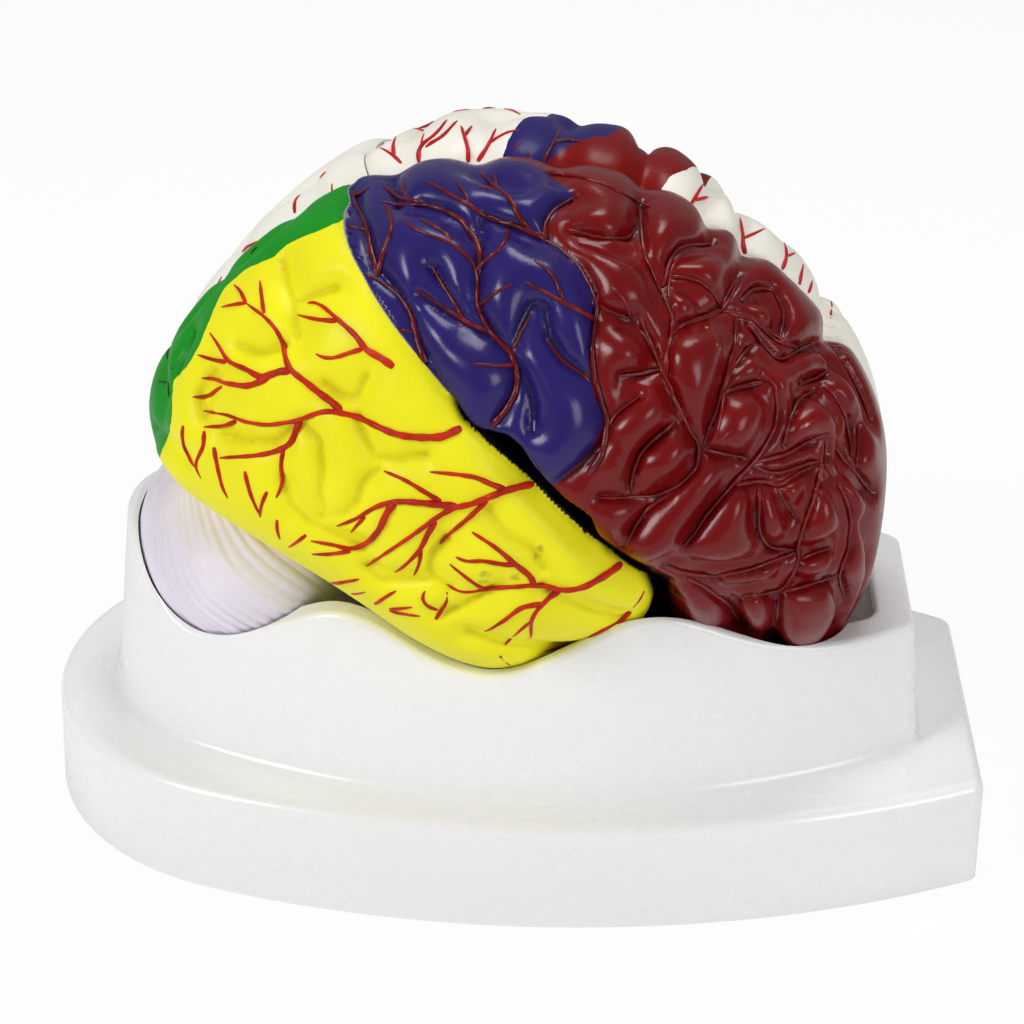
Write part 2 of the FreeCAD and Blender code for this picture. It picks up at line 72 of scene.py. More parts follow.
def camera_axes():
    """Right, up and backward directions of the photograph's camera."""
    back = Vector((math.sin(CAMERA_TURN) * math.cos(CAMERA_RISE),
                   -math.cos(CAMERA_TURN) * math.cos(CAMERA_RISE),
                   math.sin(CAMERA_RISE)))
    level = Vector((0, 0, 1)).cross(back).normalized()
    upright = back.cross(level)
    right = level * math.cos(CAMERA_ROLL) + upright * math.sin(CAMERA_ROLL)
    up = upright * math.cos(CAMERA_ROLL) - level * math.sin(CAMERA_ROLL)
    return right, up, back


RIGHT, UP, BACK = camera_axes()
EYE = CAMERA_TARGET + BACK * CAMERA_DISTANCE
bpy.ops.object.camera_add(location=EYE)
camera = bpy.context.object
camera.name = "photo_camera"
camera.data.sensor_width = SENSOR_MM
camera.data.lens = FOCAL_PIXELS * SENSOR_MM / PICTURE
camera.matrix_world = Matrix((
    (RIGHT.x, UP.x, BACK.x, EYE.x),
    (RIGHT.y, UP.y, BACK.y, EYE.y),
    (RIGHT.z, UP.z, BACK.z, EYE.z),
    (0, 0, 0, 1),
))
bpy.context.scene.camera = camera
bpy.context.scene.view_settings.view_transform = "Standard"
print("lens in mm:", round(camera.data.lens, 2))


def view_ray(pixel):
    """Direction from the camera through a place in the photograph."""
    across = (pixel[0] - PICTURE / 2) / FOCAL_PIXELS
    upward = (PICTURE / 2 - pixel[1]) / FOCAL_PIXELS
    return (RIGHT * across + UP * upward - BACK).normalized()


# %% [markdown]
# ## Working on points
# A fold or a leaf is easiest to shape the way a sculptor's brush does it: every point moves a little
# along its own normal. NumPy reads all points of a mesh at once, which keeps this quick even with
# seventy thousand of them. One smoothing step moves each value halfway to its neighbours' mean.

# %% Helpers for reading, smoothing and moving points
def pick(piece):
    """Leave only this piece selected and active."""
    bpy.ops.object.select_all(action="DESELECT")
    piece.select_set(True)
    bpy.context.view_layer.objects.active = piece


def read_points(piece, what="co"):
    """Every point's place or normal as rows of three."""
    values = np.empty(len(piece.data.vertices) * 3)
    piece.data.vertices.foreach_get(what, values)
    return values.reshape(-1, 3)


def write_points(piece, places):
    """Put every point at its new place."""
    piece.data.vertices.foreach_set("co", places.ravel())
    piece.data.update()


def read_edges(piece):
    """The two ends of every edge."""
    ends = np.empty(len(piece.data.edges) * 2, dtype=np.int64)
    piece.data.edges.foreach_get("vertices", ends)
    return ends.reshape(-1, 2)


def smoothed(values, edges, rounds):
    """Values after several rounds of averaging over neighbouring points."""
    count = len(values)
    first, second = edges[:, 0], edges[:, 1]
    share = 1.0 / np.maximum(np.bincount(edges.ravel(), minlength=count), 1)
    columns = values.reshape(count, -1).T.copy()
    for _ in range(rounds):
        for i, column in enumerate(columns):
            total = np.bincount(first, column[second], count) + np.bincount(second, column[first], count)
            columns[i] = (column + total * share) / 2
    return columns.T.reshape(values.shape)


def ease(values):
    """Smooth step from 0 to 1."""
    t = np.clip(values, 0.0, 1.0)
    return t * t * (3 - 2 * t)


def tree_of(spots):
    """A tree for finding the nearest of many places."""
    tree = KDTree(len(spots))
    for i, spot in enumerate(spots):
        tree.insert(spot, i)
    tree.balance()
    return tree


def keep_values(piece, name, values):
    """Store one number per point, for the paint to read."""
    layer = piece.data.attributes.new(name, "FLOAT", "POINT")
    layer.data.foreach_set("value", np.ascontiguousarray(values, dtype=np.float32))


# %% [markdown]
# ## Even skins over the castings
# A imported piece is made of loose, uneven triangles, which bend badly when points move. A copy is
# merged, covered with an even skin by a voxel Remesh modifier, and drawn back onto the original by
# Shrinkwrap, so that the skin starts exactly on the measured form. A finer voxel is used where finer
# relief follows.

# %% Make the skins
MERGE_DISTANCE = 0.002 * MM
LOBE_VOXEL = 0.7 * MM
LEAF_VOXEL = 0.5 * MM


def even_skin(node, name, voxel):
    """A closed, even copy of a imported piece, ready for sculpting."""
    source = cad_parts[node]
    piece = bpy.data.objects.new(name, source.data.copy())
    bpy.context.collection.objects.link(piece)
    piece.data.materials.clear()
    pick(piece)
    bpy.ops.object.mode_set(mode="EDIT")
    bpy.ops.mesh.select_all(action="SELECT")
    bpy.ops.mesh.remove_doubles(threshold=MERGE_DISTANCE)
    bpy.ops.object.mode_set(mode="OBJECT")
    remesh = piece.modifiers.new("even skin", "REMESH")
    remesh.mode = "VOXEL"
    remesh.voxel_size = voxel
    remesh.use_smooth_shade = True
    bpy.ops.object.modifier_apply(modifier=remesh.name)
    wrap = piece.modifiers.new("back onto the form", "SHRINKWRAP")
    wrap.target = source
    bpy.ops.object.modifier_apply(modifier=wrap.name)
    print(name, "has", len(piece.data.vertices), "points")
    return piece


def both_skins(kind, voxel):
    """The right and the left skin of one kind of casting."""
    return {side: even_skin(f"{kind}_{side}", f"{kind}_casting_{side}", voxel) for side in SIDES}


uppers = both_skins("frontal_parietal", LOBE_VOXEL)
lowers = both_skins("temporal_occipital", LOBE_VOXEL)
cerebella = both_skins("cerebellum", LEAF_VOXEL)
stems = both_skins("brainstem", LEAF_VOXEL)

# %% [markdown]
# ## Which points may move
# The flat faces where two castings meet have to stay flat, or they would cut into each other. The
# share below is 0 on those faces and grows to 1 a little way off them. It also fades to 0 deep in
# the stand, where the castings are seated and nothing shows.

# %% Free share of each point
CUT_SUM = 107.5 * MM
CUT_CORNER_X = 34.0 * MM
CUT_FOOT_X = 38.0 * MM
CUT_CORNER_REACH = 3.0 * MM
FREE_REACH = 2.2 * MM
SEAT_HEIGHT = 52.0 * MM
SEAT_FADE = 10.0 * MM


def cut_distance(places):
    """Distance in the side view from the cut between the upper and the lower casting."""
    x, z = places[:, 0], places[:, 2]
    corner_z = CUT_SUM - CUT_CORNER_X
    slope = np.abs(x + z - CUT_SUM) / math.sqrt(2)
    foot = np.abs(x - CUT_CORNER_X - (CUT_FOOT_X - CUT_CORNER_X) * (corner_z - z) / corner_z)
    far_off = np.where(z > corner_z, slope, foot)
    return np.where(np.abs(z - corner_z) < CUT_CORNER_REACH, np.minimum(slope, foot), far_off)


def free_share(places):
    """How far each point may follow a sculpting move, from 0 to 1."""
    off_faces = np.minimum(np.abs(places[:, 1]), cut_distance(places))
    return ease(off_faces / FREE_REACH) * ease((places[:, 2] - SEAT_HEIGHT) / SEAT_FADE)


# %% [markdown]
# ## Crisp edges round the flat faces
# The even skin has its points on a regular grid, so a sharp slanting edge comes out like a saw. The
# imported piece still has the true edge. Each skin point less than a grid step away is put on it, which
# takes most of the teeth away.

# %% Put skin points on the true edges
EDGE_ANGLE = math.radians(35.0)
EDGE_STEP = 0.1 * MM
EDGE_PULL = 0.9
FACE_REACH = 0.5 * MM


def true_edges(node):
    """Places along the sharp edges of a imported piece's flat faces."""
    mesh = bmesh.new()
    mesh.from_mesh(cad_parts[node].data)
    bmesh.ops.remove_doubles(mesh, verts=mesh.verts, dist=MERGE_DISTANCE)
    spots = []
    for edge in mesh.edges:
        if edge.calc_face_angle(0.0) > EDGE_ANGLE:
            start, end = (corner.co for corner in edge.verts)
            count = math.ceil((end - start).length / EDGE_STEP)
            spots += [tuple(start.lerp(end, i / count)) for i in range(count + 1)]
    mesh.free()
    spots = np.array(spots)
    return spots[np.minimum(np.abs(spots[:, 1]), cut_distance(spots)) < FACE_REACH]


def sharpen(piece, node):
    """Move the skin points nearest to a true edge onto it."""
    spots = true_edges(node)
    tree = tree_of(spots)
    places = read_points(piece)
    found = [tree.find(place) for place in places]
    close = [i for i, (_, _, distance) in enumerate(found) if distance < EDGE_PULL * LOBE_VOXEL]
    places[close] = [tuple(found[i][0]) for i in close]
    write_points(piece, places)
    print(piece.name, "has", len(close), "points on true edges")


for side in SIDES:
    sharpen(uppers[side], "frontal_parietal_" + side)
    sharpen(lowers[side], "temporal_occipital_" + side)

# %% [markdown]
# ## Lines drawn over the photograph
# Creases and vessels of this side were followed on the photograph, as places in its 1024 by
# 1024 frame. Each line is laid on the casting by looking through the camera at every few pixels of it.
# The hidden side has no picture, so it gets the same lines mirrored.

# %% Lay drawn lines on a casting
LINE_STEP = 3.0
LONGEST_JUMP = 3.0 * MM
LINE_BLUR = 5
FEWEST_SPOTS = 4
MIRROR = np.array([1.0, -1.0, 1.0])


def surface_of(piece):
    """A tree for finding where a ray meets the piece."""
    polygons = [tuple(p.vertices) for p in piece.data.polygons]
    return BVHTree.FromPolygons([v.co.copy() for v in piece.data.vertices], polygons)


def softened(spots, blur=LINE_BLUR):
    """A line with its corners rounded by a moving mean, its two ends kept."""
    reach = blur // 2
    inner = [np.mean(spots[max(0, i - reach):i + reach + 1], axis=0) for i in range(1, len(spots) - 1)]
    return np.array([spots[0]] + inner + [spots[-1]])


def laid_line(surface, pixels):
    """Pieces of a drawn line on a casting, cut where it passes behind something."""
    runs, run = [], []
    for start, end in zip(pixels, pixels[1:]):
        count = max(1, round(math.dist(start, end) / LINE_STEP))
        for i in range(count + 1):
            pixel = [a + (b - a) * i / count for a, b in zip(start, end)]
            spot = surface.ray_cast(EYE, view_ray(pixel))[0]
            if run and (spot is None or (spot - Vector(run[-1])).length > LONGEST_JUMP):
                runs.append(run)
                run = []
            if spot is not None:
                run.append(tuple(spot))
    runs.append(run)
    return [softened(np.array(run)) for run in runs if len(run) >= FEWEST_SPOTS]


def laid_lines(piece, drawn):
    """Every drawn line laid on a casting."""
    surface = surface_of(piece)
    return [run for pixels in drawn for run in laid_line(surface, pixels)]


# %% [markdown]
# ## Creases
# Between two folds the casting has a narrow crease. The lines below follow the creases of the frontal
# lobe (maroon), of its border to the parietal lobe (navy), and of the parietal, the temporal (yellow)
# and the occipital (green) lobe.

# %% Crease lines of the castings
FRONTAL_LINES = [
    [(640, 205), (642, 245), (650, 265), (664, 294)],
    [(640, 318), (652, 345), (666, 378), (684, 420), (700, 445), (697, 468), (680, 485), (655, 497),
     (600, 498)],
    [(664, 294), (672, 312), (674, 328), (667, 350), (666, 378)],
    [(670, 275), (692, 278), (710, 287), (722, 306)],
    [(674, 328), (700, 318), (722, 308), (750, 314), (765, 330), (782, 343), (800, 348)],
    [(748, 322), (766, 348), (780, 361), (806, 346), (830, 340)],
    [(722, 308), (731, 290), (737, 276)],
    [(737, 322), (737, 345), (730, 365), (722, 392), (716, 412), (703, 447)],
    [(763, 374), (776, 384), (779, 405), (775, 432), (758, 458), (728, 490), (704, 518), (685, 546)],
    [(722, 393), (742, 386), (763, 382)],
    [(784, 445), (792, 415), (800, 397), (815, 391)],
    [(822, 384), (838, 396), (847, 418), (853, 455)],
    [(800, 383), (818, 378), (832, 367)],
    [(742, 300), (754, 288), (775, 288), (785, 312), (780, 340)],
    [(830, 343), (846, 362), (858, 385), (872, 420)],
    [(665, 285), (669, 262), (680, 246), (712, 243)],
    [(703, 449), (725, 454), (750, 459)],
    [(755, 463), (785, 455), (808, 442), (826, 437)],
    [(757, 468), (775, 475), (800, 466), (820, 461)],
    [(738, 484), (762, 481), (780, 486), (797, 474), (816, 466)],
    [(761, 486), (758, 510), (759, 533), (769, 548), (797, 550)],
    [(777, 490), (788, 506), (797, 520)],
    [(822, 470), (815, 495), (806, 520), (798, 545), (799, 562), (791, 582), (778, 593), (738, 598)],
    [(838, 480), (847, 500), (853, 525), (850, 550), (838, 576), (846, 600)],
    [(828, 440), (826, 458), (828, 474), (846, 480)],
    [(838, 450), (853, 470), (872, 492)],
    [(860, 425), (860, 445), (856, 468)],
    [(664, 567), (690, 575), (720, 577), (750, 570), (797, 552)],
    [(690, 578), (708, 590), (730, 604), (745, 635)],
    [(770, 640), (777, 618), (778, 597)],
    [(802, 558), (818, 552), (835, 546)],
    [(785, 591), (800, 587), (820, 581), (838, 577)],
    [(598, 308), (615, 314), (632, 321)],
    [(620, 376), (640, 374), (663, 368)],
    [(609, 422), (622, 408), (638, 397)],
    [(674, 424), (655, 438), (640, 453), (634, 470), (630, 490)],
    [(668, 494), (648, 508), (634, 528), (624, 548)],
    [(733, 368), (746, 352), (757, 341)],
    [(572, 231), (600, 237), (630, 238), (640, 222)],
]
BORDER_LINES = [
    [(575, 197), (556, 207), (545, 223), (548, 240), (562, 250), (581, 266), (594, 290), (596, 310),
     (592, 345), (594, 375), (600, 396), (608, 420), (603, 442), (580, 466), (560, 480)],
]
PARIETAL_LINES = [
    [(484, 222), (480, 250), (479, 275), (477, 300)],
    [(432, 266), (444, 286), (455, 303), (464, 322)],
    [(477, 300), (483, 318), (497, 338), (512, 354), (518, 375), (513, 398), (494, 424)],
    [(515, 345), (520, 328), (532, 304), (545, 306), (549, 335), (562, 358), (589, 376)],
    [(377, 272), (400, 294), (412, 316), (418, 345), (432, 373), (456, 408)],
    [(419, 204), (445, 210), (463, 222), (477, 242)],
    [(519, 370), (528, 388), (533, 404), (532, 430)],
    [(395, 168), (393, 188), (400, 207)],
    [(352, 190), (358, 208), (368, 232), (377, 272)],
    [(420, 294), (440, 308), (462, 320), (490, 334)],
    [(486, 217), (505, 223), (530, 232), (546, 240)],
]
TEMPORAL_LINES = [
    [(283, 262), (287, 285), (294, 305), (298, 335)],
    [(297, 300), (318, 292), (336, 287)],
    [(366, 376), (356, 397), (340, 396), (325, 384)],
    [(358, 418), (366, 440), (376, 458), (400, 460), (425, 455)],
    [(303, 425), (320, 440), (322, 468), (320, 495), (325, 514)],
    [(378, 468), (363, 482), (357, 501), (343, 514), (322, 516)],
    [(283, 478), (290, 505), (308, 521), (335, 534), (360, 547)],
    [(446, 538), (432, 550), (427, 567), (436, 579), (449, 588)],
    [(487, 508), (498, 523), (512, 538), (532, 550), (543, 568)],
    [(541, 586), (562, 599), (588, 611), (618, 619), (640, 608)],
    [(445, 612), (463, 606), (478, 596), (491, 587)],
    [(366, 566), (380, 580), (405, 581), (432, 579)],
    [(468, 632), (500, 645), (530, 648), (552, 652)],
    [(222, 434), (245, 442), (275, 443), (291, 430)],
    [(240, 345), (262, 352), (285, 345)],
    [(215, 372), (200, 392), (205, 415)],
]
OCCIPITAL_LINES = [
    [(193, 332), (189, 352), (176, 372)],
    [(262, 232), (256, 246), (240, 258)],
]
print("crease lines on the frontal and parietal lobes:", len(FRONTAL_LINES + BORDER_LINES + PARIETAL_LINES))
print("crease lines on the temporal and occipital lobes:", len(TEMPORAL_LINES + OCCIPITAL_LINES))

# %% [markdown]
# ## Cushions between the creases
# On the real castings the folds are soft cushions with narrow grooves between them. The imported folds
# are first softened a little. Then every point rises with its distance from the nearest crease, along
# a quarter circle, which gives each fold a round shoulder. Last, the crease itself is pressed in like a
# line drawn with a modelling tool. A search tree of the lines' points gives each point its distance.

# %% Raise the cushions and press the creases
SOFT_ROUNDS = 14
SOFT_SHARE = {"upper": 0.7, "lower": 0.5}
CUSHION_REACH = 5.5 * MM
CUSHION_LEVEL = 0.45
CUSHION_HEIGHT = {"upper": 1.5 * MM, "lower": 1.1 * MM}
CREASE_POWER = 1.5


def distance_to(lines, places):
    """Distance from each place to the nearest point of the lines."""
    tree = tree_of(np.concatenate(lines))
    return np.array([tree.find(place)[2] for place in places])


def mirrored(runs):
    """The same lines on the other side."""
    return [run * MIRROR for run in runs]


def cushion(piece, lines, kind):
    """Soften a casting's folds, then raise a round cushion between each crease and the next."""
    places = read_points(piece)
    free = free_share(places)
    soft = smoothed(places, read_edges(piece), SOFT_ROUNDS)
    write_points(piece, places + (soft - places) * (SOFT_SHARE[kind] * free)[:, None])
    places = read_points(piece)
    near = 1 - np.clip(distance_to(lines, places) / CUSHION_REACH, 0, 1)
    rise = CUSHION_HEIGHT[kind] * (np.sqrt(1 - near ** 2) - CUSHION_LEVEL) * free
    write_points(piece, places + read_points(piece, "normal") * rise[:, None])


def press(piece, lines, depth, reach):
    """Press lines into a casting."""
    places = read_points(piece)
    share = np.clip(1 - distance_to(lines, places) / reach, 0, 1) ** CREASE_POWER
    move = -depth * smoothed(share, read_edges(piece), 1) * free_share(places)
    write_points(piece, places + read_points(piece, "normal") * move[:, None])


CREASES = [
    ("frontal", uppers, FRONTAL_LINES, 0.7 * MM, 1.4 * MM),
    ("border", uppers, BORDER_LINES, 0.6 * MM, 1.6 * MM),
    ("parietal", uppers, PARIETAL_LINES, 0.5 * MM, 2.0 * MM),
    ("temporal", lowers, TEMPORAL_LINES, 0.5 * MM, 2.0 * MM),
    ("occipital", lowers, OCCIPITAL_LINES, 0.5 * MM, 2.0 * MM),
]
crease_runs = {label: laid_lines(castings["right"], drawn) for label, castings, drawn, _, _ in CREASES}
upper_creases = crease_runs["frontal"] + crease_runs["border"] + crease_runs["parietal"]
lower_creases = crease_runs["temporal"] + crease_runs["occipital"]
cushion(uppers["right"], upper_creases, "upper")
cushion(uppers["left"], mirrored(upper_creases), "upper")
cushion(lowers["right"], lower_creases, "lower")
cushion(lowers["left"], mirrored(lower_creases), "lower")
for label, castings, _, depth, reach in CREASES:
    press(castings["right"], crease_runs[label], depth, reach)
    press(castings["left"], mirrored(crease_runs[label]), depth, reach)
    print(label, "creases:", len(crease_runs[label]))

# %% [markdown]
# ## Measuring round the brain
# Borders between colours run from the midline down over the side. They are easiest to follow on a
# flat map: one direction along the brain, the other round it, as if the surface were unrolled. There
# each point's distance from a line can be measured, and also on which side of the line it lies.

# %% Map of places and borders
TURN_AXIS_Z = 88.0 * MM
TURN_RADIUS = 55.0
SHORTEST_RUN = 1e-4


def unrolled(places):
    """Place along the brain and round it, both in millimetres."""
    turn = np.arctan2(np.abs(places[:, 1]), places[:, 2] - TURN_AXIS_Z)
    return np.stack([places[:, 0] / MM, turn * TURN_RADIUS], axis=1)


def mapped_line(piece, pixels):
    """Map of a line drawn on the photograph."""
    return unrolled(np.concatenate(laid_line(surface_of(piece), pixels)))


def border_distance(places, line):
    """Distance on the map to a line in millimetres, positive in front of it."""
    spots = unrolled(places)
    nearest = np.full(len(places), np.inf)
    side = np.ones(len(places))
    for start, end in zip(line, line[1:]):
        run = end - start
        away = spots - start
        share = np.clip((away @ run) / max(run @ run, SHORTEST_RUN ** 2), 0, 1)
        distance = np.linalg.norm(away - share[:, None] * run, axis=1)
        closer = distance < nearest
        side[closer] = np.sign(run[1] * away[:, 0] - run[0] * away[:, 1])[closer]
        nearest = np.minimum(nearest, distance)
    return nearest * side


# %% [markdown]
# ## The open fissure
# In front, the lobes above and below the cut don't touch: the upper ones hang over a dark gap and the
# temporal lobe ends in a rounded pole. Everything between a lobe's lip and the cut is drawn in towards
# the midline. The move is sideways only, so that the flat faces at the cut stay flat, and it fades
# out well before the pins. How far each point was drawn in is kept, because the gap and a band along
# the cut are painted near-black as shade.

# %% Open the fissure
UPPER_LIP = [(440, 392), (458, 411), (484, 428), (508, 433), (524, 447), (535, 465), (548, 480), (556, 488),
             (566, 498), (593, 517), (600, 536), (616, 551), (636, 561), (650, 569), (662, 580), (670, 597),
             (674, 615), (676, 640)]
LOWER_LIP = [(447, 413), (459, 428), (490, 446), (521, 469), (533, 483), (564, 501), (585, 515), (597, 538),
             (602, 557), (616, 562), (633, 572), (643, 589), (648, 602), (645, 614)]
GAP_DEPTH = 6.5 * MM
GAP_KEPT_AT_X = (18.0, 28.0)
GAP_KEPT_Y = (38.0, 24.0)
GAP_FADE = 14.0 * MM
GAP_START_MM = 4.0
CUT_SHADE_REACH = 0.8 * MM
LIP_WALL_MM = {"upper": 2.4, "lower": 3.2}


def open_gap(piece, label, line, facing):
    """Draw in what lies between a lip and the cut, and keep how far, with a band along the cut, for the
    painted shade.
    """
    places = read_points(piece)
    past = border_distance(places, line) * facing
    started = ease((places[:, 0] / MM - line[0, 0]) / GAP_START_MM)
    kept_y = np.interp(places[:, 0] / MM, GAP_KEPT_AT_X, GAP_KEPT_Y) * MM
    outside = ease((np.abs(places[:, 1]) - kept_y) / GAP_FADE)
    share = ease(past / LIP_WALL_MM[label]) * started * outside
    # A band on the cut face beside the lip is painted near-black as shade too
    beside = np.clip(1 - cut_distance(places) / CUT_SHADE_REACH, 0, 1) * started * outside ** 2
    places[:, 1] -= np.sign(places[:, 1]) * GAP_DEPTH * share
    write_points(piece, places)
    keep_values(piece, "gap", np.maximum(share, beside))


lips = {"upper": mapped_line(uppers["right"], UPPER_LIP), "lower": mapped_line(lowers["right"], LOWER_LIP)}
for side in SIDES:
    open_gap(uppers[side], "upper", lips["upper"], -1.0)
    open_gap(lowers[side], "lower", lips["lower"], 1.0)
print("fissure opened from x =", round(lips["upper"][0, 0], 1), "mm forward")

# %% [markdown]
# ## Blood vessels
# The vessels stand up from the castings as thin rounded ridges, thick at the trunk and thin at the
# twigs. Like the creases they were followed on the photograph, each from its trunk outwards,
# one list for each painted region and for what can be seen of the far side.

# %% Vessel lines of the castings
PARIETAL_VESSELS = [
    [(545, 240), (530, 232), (518, 226), (500, 222), (485, 217), (475, 210), (465, 202), (452, 196),
     (440, 188), (425, 181)],
    [(470, 204), (463, 190), (456, 183)],
    [(527, 228), (518, 215), (512, 202), (502, 192), (490, 183), (480, 172)],
    [(497, 188), (494, 172)],
    [(497, 190), (478, 188)],
    [(589, 473), (603, 455), (608, 424), (600, 396), (594, 378), (592, 350), (595, 320), (598, 308),
     (592, 288), (580, 266), (560, 248), (545, 240)],
    [(545, 240), (543, 228), (548, 218), (556, 208), (575, 197)],
    [(492, 425), (505, 412), (515, 395), (518, 375), (512, 355), (500, 343), (490, 332), (482, 318),
     (477, 305), (478, 290), (477, 272), (470, 260), (458, 248), (445, 240), (425, 234), (412, 228),
     (402, 220)],
    [(478, 275), (480, 255), (475, 238), (462, 220), (445, 210), (425, 204), (405, 206), (392, 204),
     (380, 202)],
    [(425, 204), (412, 200), (398, 199), (388, 190), (383, 186)],
    [(405, 198), (405, 185), (403, 178)],
    [(478, 270), (485, 262), (500, 250), (508, 238), (508, 226)],
    [(490, 332), (472, 326), (455, 315), (440, 305), (425, 295), (416, 290)],
    [(465, 322), (455, 303), (445, 288), (435, 272), (432, 266)],
    [(452, 240), (440, 230), (425, 222), (420, 220)],
    [(480, 306), (495, 293), (512, 284)],
    [(512, 352), (520, 335), (530, 315)],
    [(517, 365), (495, 366), (472, 364)],
    [(595, 320), (580, 312), (562, 302), (545, 292), (525, 282)],
    [(562, 298), (556, 280), (546, 268), (534, 260)],
    [(589, 380), (578, 372), (562, 362), (553, 350), (546, 338)],
    [(456, 408), (445, 393), (430, 372), (420, 350), (415, 332), (412, 315), (402, 297), (385, 285),
     (370, 276), (352, 266)],
    [(388, 330), (400, 330), (414, 333)],
    [(378, 275), (372, 255), (368, 235), (365, 220), (356, 205), (352, 190)],
    [(378, 275), (385, 250), (393, 228), (390, 212), (384, 204)],
    [(368, 232), (355, 228), (342, 224)],
    [(352, 195), (360, 195), (369, 188)],
]
FRONTAL_VESSELS = [
    [(545, 172), (575, 176), (600, 183), (625, 195), (650, 207)],
    [(612, 288), (622, 295), (628, 310), (632, 320)],
    [(640, 330), (652, 348), (664, 372), (672, 398), (684, 420), (700, 444)],
    [(674, 328), (700, 320), (722, 312), (735, 290), (737, 278)],
    [(722, 312), (735, 316), (752, 318), (770, 332), (785, 342), (797, 347)],
    [(664, 372), (668, 350), (674, 328), (671, 310), (668, 290), (671, 270), (680, 255), (692, 250)],
    [(622, 376), (640, 373), (655, 369)],
    [(735, 320), (738, 345), (732, 368), (724, 390), (722, 415), (716, 440), (705, 447)],
    [(724, 392), (745, 387), (762, 383)],
    [(720, 440), (735, 428)],
    [(768, 460), (785, 455), (803, 443), (820, 436)],
    [(738, 484), (760, 480), (775, 482)],
]
TEMPORAL_VESSELS = [
    [(460, 428), (444, 437), (420, 437), (400, 435), (386, 430), (372, 423), (360, 417), (340, 413),
     (326, 411), (314, 414), (300, 420), (288, 422), (268, 425), (246, 422), (236, 418), (226, 414),
     (204, 411)],
    [(236, 421), (226, 426), (204, 427)],
    [(340, 410), (334, 404), (320, 394), (306, 382), (290, 370), (286, 360), (284, 346), (280, 334),
     (272, 324), (264, 316), (254, 309), (246, 303)],
    [(246, 303), (240, 288), (234, 285)],
    [(246, 303), (222, 307)],
    [(264, 313), (262, 296), (260, 281)],
    [(290, 371), (280, 371), (270, 376), (260, 378), (246, 369), (234, 365), (226, 360), (220, 346),
     (210, 333)],
    [(226, 362), (214, 360), (198, 355)],
    [(268, 378), (254, 385), (244, 387), (234, 384), (222, 384), (218, 378), (202, 378)],
    [(222, 387), (208, 397), (193, 397)],
    [(392, 366), (382, 358), (364, 349), (360, 340), (350, 330), (336, 318), (324, 307), (314, 302),
     (308, 303)],
    [(336, 321), (318, 320), (298, 315)],
    [(362, 349), (346, 354), (332, 359), (320, 357), (316, 354)],
    [(300, 422), (296, 430), (294, 442), (284, 448), (272, 453), (256, 456), (240, 457), (220, 458)],
    [(284, 450), (281, 464), (283, 484), (276, 498)],
    [(204, 432), (205, 446), (198, 458), (195, 466), (201, 478)],
    [(183, 426), (184, 444), (190, 460), (195, 467)],
    [(214, 448), (218, 466), (222, 486), (228, 498)],
    [(245, 472), (251, 495), (260, 515)],
    [(267, 492), (261, 505), (260, 517)],
    [(532, 484), (507, 490), (490, 496), (472, 504), (455, 507), (440, 515), (425, 526), (410, 537),
     (380, 557), (367, 566)],
    [(505, 489), (490, 484), (477, 477), (455, 474), (430, 472)],
    [(455, 506), (437, 504), (415, 502), (397, 501), (382, 504), (370, 510), (357, 519), (337, 526)],
    [(365, 517), (351, 532)],
    [(395, 502), (387, 512), (380, 530), (367, 544), (350, 550), (335, 545), (311, 541)],
    [(350, 551), (330, 554), (312, 554)],
    [(440, 501), (425, 492), (405, 480), (384, 471)],
    [(435, 522), (427, 535), (420, 550), (405, 565), (395, 572)],
    [(421, 550), (420, 562), (414, 575)],
    [(487, 500), (475, 512), (460, 525), (447, 535), (440, 544)],
    [(621, 564), (602, 577), (582, 587), (562, 590), (547, 585), (527, 585), (502, 587), (485, 589),
     (465, 592), (455, 590), (447, 584)],
    [(485, 589), (472, 581), (460, 572), (450, 564)],
    [(535, 585), (530, 575), (517, 566), (505, 555), (492, 545), (472, 532)],
    [(515, 565), (500, 564), (482, 560), (467, 562), (456, 557)],
    [(560, 591), (545, 600), (535, 612), (530, 622), (532, 635), (527, 646)],
    [(530, 622), (517, 632), (505, 645)],
    [(540, 604), (522, 606), (505, 620), (485, 631)],
    [(644, 591), (630, 612), (617, 624), (600, 630), (580, 641), (560, 647), (545, 651)],
    [(582, 641), (567, 652)],
    [(500, 656), (510, 665)],
    [(436, 619), (440, 611), (447, 604), (447, 592)],
    [(437, 610), (425, 605), (421, 597), (425, 591)],
    [(375, 604), (385, 597), (396, 591)],
    [(390, 609), (412, 607)],
    [(390, 611), (420, 616)],
    [(332, 583), (359, 579)],
    [(352, 594), (365, 592)],
    [(306, 535), (297, 542), (289, 547)],
    [(277, 520), (277, 530), (280, 539)],
]
